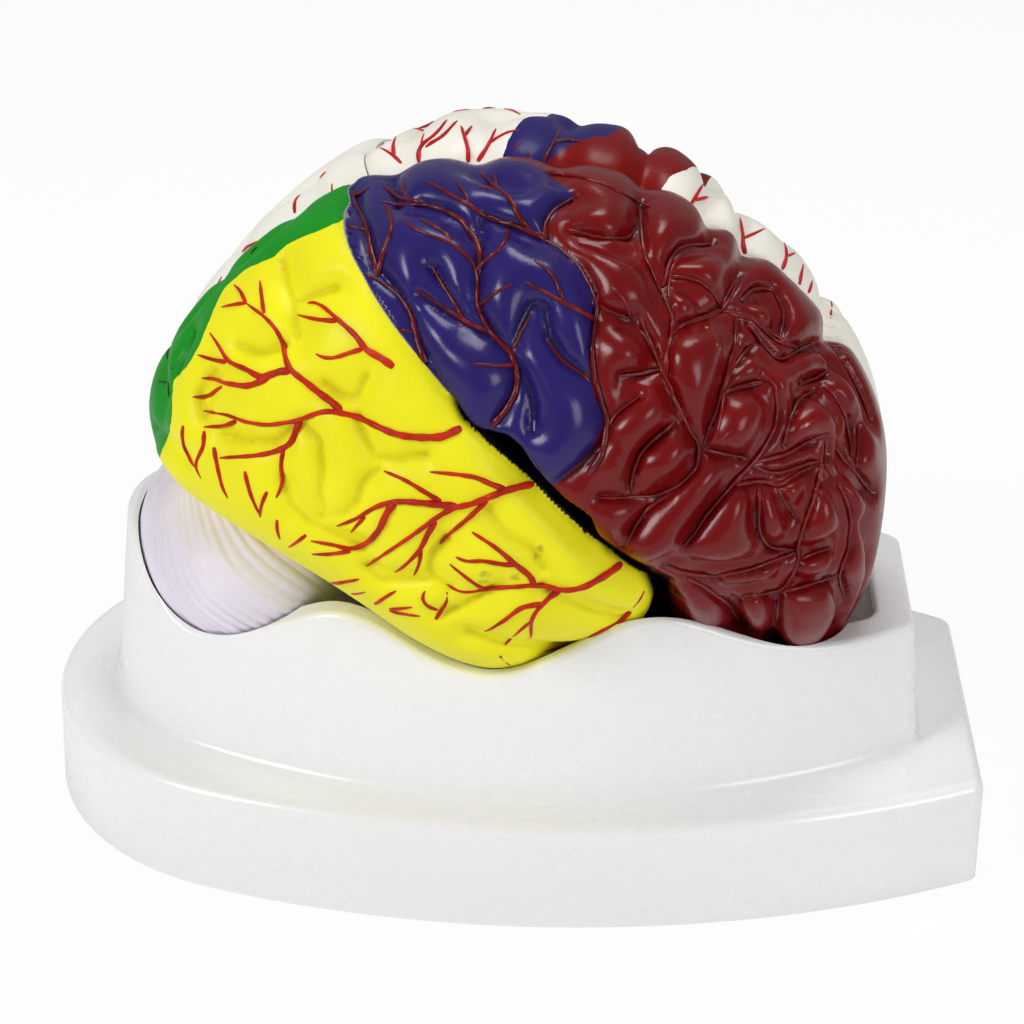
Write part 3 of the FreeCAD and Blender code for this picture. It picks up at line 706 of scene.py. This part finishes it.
FAR_VESSELS = [
    [(678, 216), (688, 206), (695, 199), (698, 190), (705, 182)],
    [(696, 200), (708, 197), (716, 192)],
    [(747, 259), (743, 248), (742, 230), (739, 212), (731, 203)],
    [(740, 211), (746, 209)],
    [(744, 238), (756, 234), (767, 227)],
    [(771, 279), (780, 273), (784, 264), (787, 256), (784, 243)],
    [(788, 256), (795, 253)],
    [(797, 296), (800, 276), (804, 262)],
    [(801, 302), (809, 292), (812, 281)],
    [(825, 326), (830, 318), (832, 304), (829, 296), (824, 288)],
    [(831, 298), (837, 302)],
    [(841, 350), (848, 344), (858, 342), (863, 336)],
    [(858, 343), (870, 350)],
    [(876, 422), (884, 419)],
    [(715, 243), (718, 233)],
    [(401, 163), (394, 156), (389, 153), (380, 148)],
    [(394, 156), (392, 147), (396, 137)],
    [(419, 162), (419, 148), (429, 140), (437, 134), (447, 120)],
    [(426, 147), (443, 137), (457, 121)],
    [(421, 145), (424, 134)],
    [(468, 162), (468, 148), (464, 137), (461, 126)],
    [(464, 137), (472, 126)],
    [(478, 161), (488, 147), (493, 137), (497, 126)],
    [(490, 143), (504, 134), (518, 130)],
]
FAR_BAND_VESSELS = [
    [(542, 166), (547, 154), (555, 141), (559, 129)],
    [(555, 141), (573, 140), (585, 143)],
    [(526, 163), (528, 151)],
    [(513, 150), (520, 143)],
]
FAR_BACK_VESSELS = [
    [(295, 213), (294, 201), (300, 195)],
    [(333, 197), (332, 184)],
    [(243, 251), (252, 245), (262, 241)],
    [(240, 256), (238, 262)],
    [(216, 289), (222, 277)],
    [(199, 309), (208, 295)],
    [(320, 178), (326, 172)],
]
OCCIPITAL_VESSELS = [
    [(172, 343), (166, 356), (173, 369)],
    [(158, 381), (169, 383), (169, 396)],
    [(213, 288), (221, 286)],
    [(250, 254), (257, 247)],
    [(272, 234), (281, 232)],
]
print("vessel lines on the near side:",
      len(PARIETAL_VESSELS + FRONTAL_VESSELS + TEMPORAL_VESSELS + OCCIPITAL_VESSELS))
print("vessel lines on the far side:", len(FAR_VESSELS + FAR_BAND_VESSELS + FAR_BACK_VESSELS))

# %% [markdown]
# ## Tubes along the lines
# Each vessel is a NURBS path with a round bevel whose radius tapers, laid on the finished skin and
# turned into a mesh. Its axis lies a little above the skin, so that more than half of the tube shows,
# and its first point lies below the skin, so that a branch grows out of its trunk without an end face.
# A tube keeps a cleaner edge than a ridge pushed up from the skin would. Beside the midline there are
# no vessels on the far side, because the raised casting of this side slides past there.

# %% Raise the vessels
# Heights of a vessel's axis over the skin, as shares of its radius
LIFT = 0.3
START_LIFT = -0.6
AXIS_BLUR = 3
VESSEL_STEP = 2
# Radius of every tip in millimetres, and the length that gives a vessel its full thickness
TIP_RADIUS = 0.14
FULL_LENGTH = 40.0 * MM
# Unevenness of the radius along a vessel
KNOBBLE_SHARE = 0.12
KNOBBLE_TURN = 1.9
# Places on the far side: from here on out of sight, and clear of the midline
HIDDEN_Y = 24.0 * MM
MIDDLE_CLEARANCE = 1.8 * MM


def tapered(index, count, thick, thin):
    """Radius of a vessel at one of its points, in millimetres."""
    radius = thick + (thin - thick) * index / max(count - 1, 1)
    uneven = 1 + KNOBBLE_SHARE * math.sin(KNOBBLE_TURN * index)
    return TIP_RADIUS if index == count - 1 else radius * uneven


def clear_of_middle(runs):
    """Lines of the far side without their points beside the midline."""
    kept = [run[run[:, 1] > MIDDLE_CLEARANCE] for run in runs]
    return [run for run in kept if len(run) >= FEWEST_SPOTS]


def vessels(name, piece, runs, thick, thin):
    """Tapered tubes along lines, partly sunk in a casting, as one mesh."""
    surface = surface_of(piece)
    bpy.ops.object.select_all(action="DESELECT")
    bpy.ops.curve.primitive_nurbs_path_add()
    tubes = bpy.context.object
    tubes.name = name
    curve = tubes.data
    curve.splines.clear()
    curve.bevel_depth = MM
    curve.bevel_resolution = 2
    curve.use_fill_caps = True
    for run in runs:
        picked = list(run[:-1:VESSEL_STEP]) + [run[-1]]
        length = sum(math.dist(a, b) for a, b in zip(picked, picked[1:]))
        start = min(thick, thin + length / FULL_LENGTH * thick)
        spline = curve.splines.new("NURBS")
        spline.points.add(len(picked) - 1)
        radii = [tapered(i, len(picked), start, thin) for i in range(len(picked))]
        laid = [surface.find_nearest(spot)[:2] for spot in picked]
        axis = softened(np.array([place for place, _ in laid]), AXIS_BLUR)
        lifts = [START_LIFT] + [LIFT] * (len(picked) - 1)
        for point, spot, (_, normal), lift, radius in zip(spline.points, axis, laid, lifts, radii):
            point.co = (*(Vector(spot) + normal * (lift * radius * MM)), 1)
            point.radius = radius
        spline.order_u = 3
        spline.use_endpoint_u = True
        spline.resolution_u = 2
    pick(tubes)
    bpy.ops.object.convert(target="MESH")
    bpy.ops.object.shade_smooth()
    print(name, "has", len(runs), "vessels and", len(tubes.data.polygons), "faces")
    return tubes


parietal_runs = laid_lines(uppers["right"], PARIETAL_VESSELS)
frontal_runs = laid_lines(uppers["right"], FRONTAL_VESSELS)
temporal_runs = laid_lines(lowers["right"], TEMPORAL_VESSELS)
occipital_runs = laid_lines(lowers["right"], OCCIPITAL_VESSELS)
far_runs = clear_of_middle(laid_lines(uppers["left"], FAR_VESSELS))
far_band_runs = clear_of_middle(laid_lines(uppers["left"], FAR_BAND_VESSELS))
far_back_runs = laid_lines(lowers["left"], FAR_BACK_VESSELS)
hidden_runs = [run for run in mirrored(parietal_runs + frontal_runs) if run[:, 1].min() > HIDDEN_Y]
# Each part's vessels: the casting, the lines, and the radii of trunk and twig in millimetres
VESSEL_PARTS = {
    "parietal_right": (uppers["right"], parietal_runs, 0.75, 0.3),
    "frontal_right": (uppers["right"], frontal_runs + crease_runs["frontal"], 0.5, 0.28),
    "temporal_right": (lowers["right"], temporal_runs, 0.8, 0.3),
    "occipital_right": (lowers["right"], occipital_runs, 0.35, 0.22),
    "upper_left": (uppers["left"], far_runs + hidden_runs, 0.75, 0.3),
    "bands_left": (uppers["left"], far_band_runs, 0.6, 0.3),
    "lower_left": (lowers["left"], mirrored(temporal_runs) + far_back_runs, 0.8, 0.3),
}
tubes = {part: vessels("vessels_" + part, *made_from) for part, made_from in VESSEL_PARTS.items()}

# %% [markdown]
# ## Leaves of the cerebellum
# The cerebellum is covered with thin parallel leaves that run along it and come together at its two
# tips. They follow the angle round its long axis, with a little waviness so that no two are alike.

# %% Cut the leaves
LEAF_COUNT = 54
LEAF_DEPTH = 0.6 * MM
LEAF_CENTRE = np.array([-53.0, 0.0, 61.0]) * MM
LEAF_TILT = math.radians(44.0)
LEAF_HALF_LENGTH = 38.0 * MM
LEAF_END_FADE = 9.0 * MM
LEAF_FACE_REACH = 1.5 * MM
LEAF_BLUR_ROUNDS = 14
GROOVE_POWER = 1.5
# Waviness as shares of half a turn, each with the length along the piece that it takes
SHORT_WAVE, SHORT_WAVE_LENGTH = 0.006, 5.3 * MM
LONG_WAVE, LONG_WAVE_LENGTH = 0.004, 11.9 * MM
LONG_WAVE_TWIST = 9
# Unevenness of the grooves' depth
DEPTH_SWING = 0.35
DEPTH_TURNS = 37
DEPTH_LENGTH = 7.0 * MM


def cut_leaves(piece):
    """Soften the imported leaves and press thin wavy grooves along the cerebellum."""
    places = read_points(piece)
    off_face = ease(np.abs(places[:, 1]) / LEAF_FACE_REACH)
    soft = smoothed(places, read_edges(piece), LEAF_BLUR_ROUNDS)
    write_points(piece, places + (soft - places) * off_face[:, None])
    places = read_points(piece)
    x, y, z = (places - LEAF_CENTRE).T
    along = x * math.cos(LEAF_TILT) - z * math.sin(LEAF_TILT)
    upward = x * math.sin(LEAF_TILT) + z * math.cos(LEAF_TILT)
    turn = np.arctan2(np.abs(y), upward) / math.pi
    long_wave = LONG_WAVE * np.sin(along / LONG_WAVE_LENGTH + LONG_WAVE_TWIST * turn)
    turn += SHORT_WAVE * np.sin(along / SHORT_WAVE_LENGTH) + long_wave
    grooves = (1 - np.abs(np.sin(math.pi * LEAF_COUNT * turn))) ** GROOVE_POWER
    ends = ease((LEAF_HALF_LENGTH - np.abs(along)) / LEAF_END_FADE)
    uneven = 1 - DEPTH_SWING + DEPTH_SWING * np.sin(DEPTH_TURNS * turn + along / DEPTH_LENGTH)
    move = -LEAF_DEPTH * grooves * ends * uneven * off_face
    write_points(piece, places + read_points(piece, "normal") * move[:, None])


for side in SIDES:
    cut_leaves(cerebella[side])
print("leaves round each half:", LEAF_COUNT)

# %% [markdown]
# ## Where each colour ends
# The upper casting carries two painted lobes on this side, and white with a navy and a red band on the
# far side. A border is kept as the distance from each point to the border line, negative behind it.
# The paint then switches colour where that distance is zero, which stays crisp between two points.
# Two more numbers are kept: how deep a point lies in a hollow, and how near it is to a flat face.

# %% Keep the borders as distances
FRONT_OF_PARIETAL = [(545, 172), (560, 183), (575, 195), (561, 209), (547, 221), (544, 233), (555, 243),
                     (579, 264), (593, 291), (596, 316), (590, 346), (588, 365), (594, 395), (604, 414),
                     (602, 429), (591, 451), (576, 466), (564, 478), (553, 485)]
FRONT_OF_OCCIPITAL = [(352, 217), (330, 226), (316, 232), (288, 243), (274, 257), (246, 269), (224, 288),
                      (213, 311), (201, 342), (187, 367), (173, 381), (172, 415), (170, 431), (162, 451)]
# Borders on the far side are out of sight but for their upper ends: map places in millimetres
FAR_BORDERS = {
    "front_of_far_white": [(-4.5, 0), (-3.3, 6), (-1.3, 13), (6, 30), (12, 45), (17, 60), (24, 80)],
    "front_of_far_navy": [(4, 0), (5.9, 4), (9.8, 8), (17.3, 11), (24, 30), (29, 45), (34, 60), (40, 80)],
    "front_of_far_red": [(28.6, 0), (30.7, 5), (34, 10), (40, 30), (45, 45), (49, 60), (54, 80)],
}
CHIPS = [(717, 345), (720, 349), (808, 425), (706, 327)]
SMUDGES = [(485, 574), (537, 555), (516, 578), (484, 582), (540, 549), (547, 590)]
HOLLOW_ROUNDS = 8
HOLLOW_BLUR_ROUNDS = 2


def hollow_of(piece):
    """How far each point lies below its blurred surroundings, in millimetres."""
    places = read_points(piece)
    edges = read_edges(piece)
    sunk = (smoothed(places, edges, HOLLOW_ROUNDS) - places) * read_points(piece, "normal")
    return smoothed(sunk.sum(axis=1) / MM, edges, HOLLOW_BLUR_ROUNDS)


def distance_to_spots(piece, pixels):
    """Distance in millimetres from each point to the nearest of some places in the photograph."""
    surface = surface_of(piece)
    spots = [surface.ray_cast(EYE, view_ray(pixel))[0] for pixel in pixels]
    places = read_points(piece)
    return np.min([np.linalg.norm(places - np.array(spot), axis=1) for spot in spots if spot], axis=0) / MM


def keep_border(piece, name, line):
    """Store each point's distance from a border line of the map."""
    keep_values(piece, name, border_distance(read_points(piece), line))


keep_border(uppers["right"], "front_of_parietal", mapped_line(uppers["right"], FRONT_OF_PARIETAL))
keep_border(lowers["right"], "front_of_occipital", mapped_line(lowers["right"], FRONT_OF_OCCIPITAL))
for name, line in FAR_BORDERS.items():
    keep_border(uppers["left"], name, np.array(line, dtype=float))
keep_values(uppers["right"], "chip", distance_to_spots(uppers["right"], CHIPS))
keep_values(lowers["right"], "smudge", distance_to_spots(lowers["right"], SMUDGES))
for side in SIDES:
    for castings in (uppers, lowers, cerebella, stems):
        piece = castings[side]
        places = read_points(piece)
        off_face = np.abs(places[:, 1])
        if castings in (uppers, lowers):
            off_face = np.minimum(off_face, cut_distance(places))
        keep_values(piece, "hollow", hollow_of(piece))
        keep_values(piece, "off_face", off_face / MM)
print("borders kept:", 2 + len(FAR_BORDERS))

# %% [markdown]
# ## Paint
# Every casting is sprayed and then brushed by hand. A small class keeps the shader nodes short to
# write: each of its methods adds one node, or a few that belong together, and gives back its output.

# %% Helpers for building paints
def linear(red, green, blue):
    """A colour given as on a screen, 0 to 255, in the form that shaders use."""
    def one(value):
        share = value / 255
        return share / 12.92 if share <= 0.04045 else ((share + 0.055) / 1.055) ** 2.4
    return one(red), one(green), one(blue), 1.0


class Paint:
    """A material with a Principled shader and short ways to add nodes to it."""

    def __init__(self, name):
        self.material = bpy.data.materials.new(name)
        self.material.use_nodes = True
        self.nodes = self.material.node_tree.nodes
        self.links = self.material.node_tree.links
        self.shader = self.nodes["Principled BSDF"]
        self.place = self.nodes.new("ShaderNodeTexCoord").outputs["Object"]

    def noise(self, scale, detail=4.0, stretch=None):
        """Noise from 0 to 1 with a scale per metre."""
        node = self.nodes.new("ShaderNodeTexNoise")
        node.inputs["Scale"].default_value = scale
        node.inputs["Detail"].default_value = detail
        place = self.place
        if stretch:
            mapping = self.nodes.new("ShaderNodeMapping")
            mapping.inputs["Scale"].default_value = stretch
            self.links.new(place, mapping.inputs["Vector"])
            place = mapping.outputs["Vector"]
        self.links.new(place, node.inputs["Vector"])
        return node.outputs["Fac"]

    def ragged(self, scale, reach):
        """Noise that swings by a reach to both sides of zero."""
        return self.math("MULTIPLY_ADD", self.noise(scale, 3), 2 * reach, -reach)

    def kept(self, name):
        """A number stored on the points."""
        node = self.nodes.new("ShaderNodeAttribute")
        node.attribute_name = name
        return node.outputs["Fac"]

    def math(self, operation, first, second=None, third=None):
        """One Math node; each input is a socket or a number."""
        node = self.nodes.new("ShaderNodeMath")
        node.operation = operation
        for socket, value in zip(node.inputs, (first, second, third)):
            if value is None:
                continue
            if isinstance(value, (int, float)):
                socket.default_value = value
            else:
                self.links.new(value, socket)
        return node.outputs[0]

    def spread(self, value, low, high, to_low=0.0, to_high=1.0):
        """A value mapped from one span to another, and held within it."""
        node = self.nodes.new("ShaderNodeMapRange")
        node.inputs["From Min"].default_value = low
        node.inputs["From Max"].default_value = high
        node.inputs["To Min"].default_value = to_low
        node.inputs["To Max"].default_value = to_high
        self.links.new(value, node.inputs["Value"])
        return node.outputs["Result"]

    def blend(self, share, first, second, how="MIX"):
        """Two colours blended by a share."""
        node = self.nodes.new("ShaderNodeMix")
        node.data_type = "RGBA"
        node.blend_type = how
        for socket, value in ((node.inputs[0], share), (node.inputs[6], first), (node.inputs[7], second)):
            if isinstance(value, (int, float, tuple)):
                socket.default_value = value
            else:
                self.links.new(value, socket)
        return node.outputs[2]

    def bump(self, height, distance, under=None):
        """Small relief that only the light sees."""
        node = self.nodes.new("ShaderNodeBump")
        node.inputs["Distance"].default_value = distance
        self.links.new(height, node.inputs["Height"])
        if under is not None:
            self.links.new(under, node.inputs["Normal"])
        return node.outputs["Normal"]

    def gloss(self, specular, coat, coat_rough):
        """Set how strongly the paint and the clear coat over it reflect."""
        self.shader.inputs["Specular IOR Level"].default_value = specular
        self.shader.inputs["Coat Weight"].default_value = coat
        self.shader.inputs["Coat Roughness"].default_value = coat_rough

    def finish(self, colour, rough, normal):
        """Connect the three things that vary over the surface."""
        self.links.new(colour, self.shader.inputs["Base Color"])
        self.links.new(rough, self.shader.inputs["Roughness"])
        self.links.new(normal, self.shader.inputs["Normal"])
        return self.material


# %% [markdown]
# ## Hand paint of the castings
# Each paint is built the same way. The colours of its regions are joined at the borders, a slow noise
# makes them uneven, painted shade darkens the hollows, and the ridges are made a little lighter.
# Chips and smudges lie where the photograph shows them, the faces between castings are bare, and the
# open fissure is painted near-black as shade. Small bumps of brush and plaster show in the gloss.

# %% Mix the casting paints
# Spans of the kept numbers, in millimetres, over which each thing comes in
# Painted shade comes into the hollows over the first span below
HOLLOW_SHADE_SPAN = (0.06, 0.42)
RIDGE_LIGHTER_SPAN = (-0.05, -0.3)
SMUDGE_SPAN = (0.2, 1.3)
CHIP_SPAN = (0.25, 0.45)
FACE_REACH_MM = 0.15
# Raggedness of the borders, the smudges and the chips, in millimetres
BORDER_REACH = 0.35
SMUDGE_REACH = 1.2
CHIP_REACH = 0.8
# Shares from 0 to 1
GAP_SHADE_SPAN = (0.05, 0.3)
PATCH_SPAN = (0.5, 1.0)
BLOTCH_SHARE = 0.2
RIDGE_LIGHTER_SHARE = 0.08
SMUDGE_SHARE = 0.5
BRUSH_HEIGHT = 0.07 * MM
GRAIN_HEIGHT = 0.03 * MM
BRUSH_STRETCH = (1.0, 1.0, 0.35)
WHITE = (1.0, 1.0, 1.0, 1.0)
CHIP_COLOUR = linear(190, 150, 92)
SMUDGE_COLOUR = linear(96, 92, 52)
FACE_COLOUR = linear(176, 170, 186)
# Near-black painted shade in the open fissure
GAP_SHADE_COLOUR = linear(16, 9, 8)


def casting_paint(name, colours, borders, shades_and_blotches, rough, coat, extras=()):
    """Hand paint of a casting: regions from back to front, each with the colour of the painted shade in its
    hollows.
    """
    paint = Paint(name)
    ragged = paint.ragged(420, BORDER_REACH)
    colour = linear(*colours[0])
    shade_and_blotch = linear(*shades_and_blotches[0])
    hollow = paint.kept("hollow")
    for border, next_colour, next_shade_and_blotch in zip(borders, colours[1:], shades_and_blotches[1:]):
        front = paint.math("GREATER_THAN", paint.math("ADD", paint.kept(border), ragged), 0.0)
        colour = paint.blend(front, colour, linear(*next_colour))
        shade_and_blotch = paint.blend(front, shade_and_blotch, linear(*next_shade_and_blotch))
    uneven = paint.spread(paint.noise(70, 5), 0.3, 0.7)
    patches = paint.spread(uneven, 0, 1, *PATCH_SPAN)
    # Painted shade: the hollows take the darker colour
    hollow_shade = paint.math("MULTIPLY", paint.spread(hollow, *HOLLOW_SHADE_SPAN), patches)
    body = paint.blend(hollow_shade, colour, shade_and_blotch)
    body = paint.blend(paint.spread(uneven, 0, 1, 0.0, BLOTCH_SHARE), body, shade_and_blotch)
    # The ridges are made a little lighter, in patches
    ridge_patches = paint.spread(paint.noise(260, 4), 0.45, 0.7)
    lighter_ridges = paint.math("MULTIPLY", paint.spread(hollow, *RIDGE_LIGHTER_SPAN), ridge_patches)
    body = paint.blend(paint.math("MULTIPLY", lighter_ridges, RIDGE_LIGHTER_SHARE), body, WHITE, "SOFT_LIGHT")
    if "smudge" in extras:
        near = paint.math("ADD", paint.kept("smudge"), paint.ragged(900, SMUDGE_REACH))
        body = paint.blend(paint.spread(near, *SMUDGE_SPAN, SMUDGE_SHARE, 0.0), body, SMUDGE_COLOUR)
    if "chip" in extras:
        near = paint.math("ADD", paint.kept("chip"), paint.ragged(1400, CHIP_REACH))
        body = paint.blend(paint.spread(near, *CHIP_SPAN, 1.0, 0.0), body, CHIP_COLOUR)
    face = paint.math("LESS_THAN", paint.kept("off_face"), FACE_REACH_MM)
    body = paint.blend(face, body, FACE_COLOUR)
    # Painted shade: the open fissure and a band along the cut go near-black
    if "gap" in extras:
        body = paint.blend(paint.spread(paint.kept("gap"), *GAP_SHADE_SPAN), body, GAP_SHADE_COLOUR)
    grain = paint.bump(paint.noise(2600, 4), GRAIN_HEIGHT)
    normal = paint.bump(paint.noise(900, 3, BRUSH_STRETCH), BRUSH_HEIGHT, grain)
    paint.gloss(specular=0.12, coat=coat, coat_rough=0.2)
    return paint.finish(body, paint.spread(paint.noise(190, 4), 0.25, 0.75, *rough), normal)


MAROON, NAVY = (118, 8, 10), (40, 30, 104)
YELLOW, GREEN = (248, 242, 34), (22, 150, 34)
OFF_WHITE, LAVENDER, CREAM = (248, 245, 234), (238, 231, 245), (240, 232, 210)
# The second list of colours in each paint is the painted shade of its hollows, also used for its darker
# blotches
paints = {
    "upper_right": casting_paint(
        "gloss_navy_and_maroon", [NAVY, MAROON], ["front_of_parietal"],
        [(20, 12, 54), (44, 2, 5)], (0.24, 0.36), 0.38, ("chip", "gap")),
    "upper_left": casting_paint(
        "gloss_white_with_bands", [OFF_WHITE, NAVY, (126, 10, 10), OFF_WHITE],
        ["front_of_far_white", "front_of_far_navy", "front_of_far_red"],
        [(224, 216, 196), (20, 12, 54), (60, 3, 7), (224, 216, 196)], (0.3, 0.44), 0.1, ("gap",)),
    "lower_right": casting_paint(
        "satin_yellow_and_green", [GREEN, YELLOW], ["front_of_occipital"],
        [(4, 88, 24), (206, 190, 8)], (0.42, 0.58), 0.06, ("smudge", "gap")),
    "lower_left": casting_paint(
        "satin_off_white", [OFF_WHITE], [], [(206, 198, 178)], (0.42, 0.58), 0.06, ("gap",)),
    "cerebellum": casting_paint(
        "satin_lavender", [LAVENDER], [], [(188, 174, 182)], (0.45, 0.6), 0.05),
    "stem": casting_paint("satin_cream", [CREAM], [], [(196, 180, 150)], (0.45, 0.6), 0.05),
}
print("casting paints:", len(paints))

# %% [markdown]
# ## Paint of the vessels
# The vessels are gone over with a fine brush. Their red differs from lobe to lobe, and it is patchy
# because the brush carries more paint at the start of a stroke than at its end.

# %% Mix the vessel paints
def vessel_paint(name, colour, shade, rough, coat):
    """Brushed paint of the raised vessels."""
    paint = Paint(name)
    patchy = paint.spread(paint.noise(240, 4), 0.35, 0.65)
    body = paint.blend(patchy, linear(*colour), linear(*shade))
    normal = paint.bump(paint.noise(1500, 3), 0.06 * MM)
    paint.gloss(specular=0.2, coat=coat, coat_rough=0.16)
    return paint.finish(body, paint.spread(paint.noise(400, 3), 0.3, 0.7, *rough), normal)


# Each paint's colour, its shade, the span of its roughness and its clear coat
VESSEL_PAINTS = {
    "gloss_dark_maroon_vessels": ((112, 18, 26), (74, 8, 20), (0.25, 0.4), 0.25),
    "satin_orange_red_vessels": ((204, 40, 10), (168, 24, 8), (0.4, 0.55), 0.08),
    "satin_bright_red_vessels": ((204, 16, 28), (170, 10, 24), (0.35, 0.5), 0.12),
    "gloss_maroon_vessels": ((132, 22, 24), (96, 12, 16), (0.22, 0.36), 0.3),
    "satin_dark_brown_vessels": ((46, 26, 20), (22, 14, 14), (0.35, 0.5), 0.1),
}
vessel_paints = {name: vessel_paint(name, *look) for name, look in VESSEL_PAINTS.items()}
print("vessel paints:", len(vessel_paints))

# %% [markdown]
# ## The stand and the pins
# The stand is a thick glossy moulding with a clear shine: the mould leaves it very slightly wavy, and
# its tone and gloss vary a little. The pins are drawn steel with fine lines along them. Both keep
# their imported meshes.

# %% Finish the stand and the pins
WAVE_HEIGHT = 0.015 * MM
SPECK_HEIGHT = 0.004 * MM
SCRATCH_HEIGHT = 0.02 * MM
SCRATCH_STRETCH = (1.0, 1.0, 8.0)
GLOSS_START, GLOSS_SWING = 0.24, 0.06


def stand_finish():
    """Glossy white moulding."""
    paint = Paint("glossy_white_moulding")
    tone = paint.blend(paint.noise(260, 3), linear(246, 246, 246), linear(243, 243, 244))
    wave = paint.bump(paint.noise(30, 2), WAVE_HEIGHT)
    normal = paint.bump(paint.noise(420, 2), SPECK_HEIGHT, wave)
    paint.shader.inputs["Coat Weight"].default_value = 0.25
    paint.shader.inputs["Coat Roughness"].default_value = 0.06
    rough = paint.math("MULTIPLY_ADD", paint.noise(160, 3), GLOSS_SWING, GLOSS_START)
    return paint.finish(tone, rough, normal)


def steel_finish():
    """Drawn steel."""
    paint = Paint("drawn_steel")
    tone = paint.blend(paint.noise(300, 4), linear(196, 196, 198), linear(160, 160, 164))
    normal = paint.bump(paint.noise(900, 3, SCRATCH_STRETCH), SCRATCH_HEIGHT)
    paint.shader.inputs["Metallic"].default_value = 1.0
    return paint.finish(tone, paint.spread(paint.noise(500, 3), 0.3, 0.7, 0.25, 0.4), normal)


stand_paint = stand_finish()
steel = steel_finish()
print("finishes of the packed meshes:", stand_paint.name, "and", steel.name)

# %% [markdown]
# ## Dressing the pieces
# Every piece gets its paint and the body that it moves with. A skin also hides the imported piece that
# it stands for. The vessels belong to the body of the casting that they lie on.

# %% Dress every piece
def dress(piece, material, body, node=None):
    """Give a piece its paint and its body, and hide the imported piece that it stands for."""
    piece.data.materials.clear()
    piece.data.materials.append(material)
    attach(piece, body)
    if node:
        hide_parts(node)


UPPER_BODY = {"right": "upper_right_piece", "left": "upper_left_piece"}
UPPER_SLOT = {"right": "paint_maroon_navy", "left": "paint_white_bands"}
LOWER_SLOT = {"right": "paint_yellow_green", "left": "paint_off_white"}
VESSEL_LOOKS = {
    "parietal_right": "gloss_dark_maroon_vessels",
    "frontal_right": "gloss_maroon_vessels",
    "temporal_right": "satin_orange_red_vessels",
    "occipital_right": "satin_dark_brown_vessels",
    "bands_left": "gloss_dark_maroon_vessels",
    "upper_left": "satin_bright_red_vessels",
    "lower_left": "satin_bright_red_vessels",
}
for side in SIDES:
    dress(uppers[side], paints["upper_" + side], UPPER_BODY[side],
          "frontal_parietal_" + side)
    dress(lowers[side], paints["lower_" + side], STAND, "temporal_occipital_" + side)
    dress(cerebella[side], paints["cerebellum"], STAND, "cerebellum_" + side)
    dress(stems[side], paints["stem"], STAND, "brainstem_" + side)
for part, look in VESSEL_LOOKS.items():
    side = part.split("_")[1]
    on_upper = VESSEL_PARTS[part][0] == uppers[side]
    slot, body = (UPPER_SLOT[side], UPPER_BODY[side]) if on_upper else (LOWER_SLOT[side], STAND)
    dress(tubes[part], vessel_paints[look], body)
for node, material in (("display_base", stand_paint), ("locating_pins", steel)):
    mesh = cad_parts[node].data
    mesh.materials.clear()
    mesh.materials.append(material)

# %% [markdown]
# ## Light, floor and background
# The photograph is a plain product picture: white all round, soft lights in front and above, and only
# a faint shadow. The white comes from the floor and the world as the camera sees them; what lights the
# model is gentler, so that the white stand does not clip.

# %% Set up the light, the floor and the world
ROOM_STRENGTH = 0.24
FLOOR_SIZE = 6.0
FLOOR_TONE = (0.9, 0.9, 0.9, 1.0)
FLOOR_ROUGHNESS = 0.9
# How much of the floor's white is its own, the rest takes the shadow
FLOOR_WHITE = 0.92
LIGHT_AIM = Vector((0.0, 0.0, 0.08))


def white_for_camera(tree, shader, white, share, surface):
    """Show plain white in place of a shader where the camera or a clear body looks at it."""
    path = tree.nodes.new("ShaderNodeLightPath")
    seen = tree.nodes.new("ShaderNodeMath")
    seen.operation = "MAXIMUM"
    tree.links.new(path.outputs["Is Camera Ray"], seen.inputs[0])
    tree.links.new(path.outputs["Is Transmission Ray"], seen.inputs[1])
    amount = tree.nodes.new("ShaderNodeMath")
    amount.operation = "MULTIPLY"
    amount.inputs[1].default_value = share
    tree.links.new(seen.outputs[0], amount.inputs[0])
    mixed = tree.nodes.new("ShaderNodeMixShader")
    tree.links.new(amount.outputs[0], mixed.inputs[0])
    tree.links.new(shader, mixed.inputs[1])
    tree.links.new(white, mixed.inputs[2])
    tree.links.new(mixed.outputs[0], surface)


world = bpy.data.worlds.new("white_room")
bpy.context.scene.world = world
world.use_nodes = True
nodes = world.node_tree.nodes
room_light = nodes["Background"]
room_light.inputs["Color"].default_value = WHITE
room_light.inputs["Strength"].default_value = ROOM_STRENGTH
seen_white = nodes.new("ShaderNodeBackground")
seen_white.inputs["Color"].default_value = WHITE
white_for_camera(world.node_tree, room_light.outputs[0], seen_white.outputs[0], 1.0,
                 nodes["World Output"].inputs["Surface"])

bpy.ops.mesh.primitive_plane_add(size=FLOOR_SIZE, location=(0, 0, 0))
floor = bpy.context.object
floor.name = "floor"
floor_paint = bpy.data.materials.new("white_floor")
floor_paint.use_nodes = True
nodes = floor_paint.node_tree.nodes
matt = nodes["Principled BSDF"]
matt.inputs["Base Color"].default_value = FLOOR_TONE
matt.inputs["Roughness"].default_value = FLOOR_ROUGHNESS
matt.inputs["Specular IOR Level"].default_value = 0.0
glow = nodes.new("ShaderNodeEmission")
white_for_camera(floor_paint.node_tree, matt.outputs[0], glow.outputs[0], FLOOR_WHITE,
                 nodes["Material Output"].inputs["Surface"])
floor.data.materials.append(floor_paint)


def soft_light(name, place, size, power):
    """A square soft light that looks at the model."""
    bpy.ops.object.light_add(type="AREA", location=place)
    lamp = bpy.context.object
    lamp.name = name
    lamp.data.size = size
    lamp.data.energy = power
    lamp.rotation_euler = (LIGHT_AIM - Vector(place)).to_track_quat("-Z", "Y").to_euler()
    print(name, "of", power, "W at", place)


soft_light("key_light", (-0.95, -0.8, 0.95), 0.5, 11.5)
soft_light("fill_light", (0.9, -0.7, 0.5), 0.5, 4.2)
soft_light("top_light", (0.1, 0.3, 1.1), 0.4, 4.0)
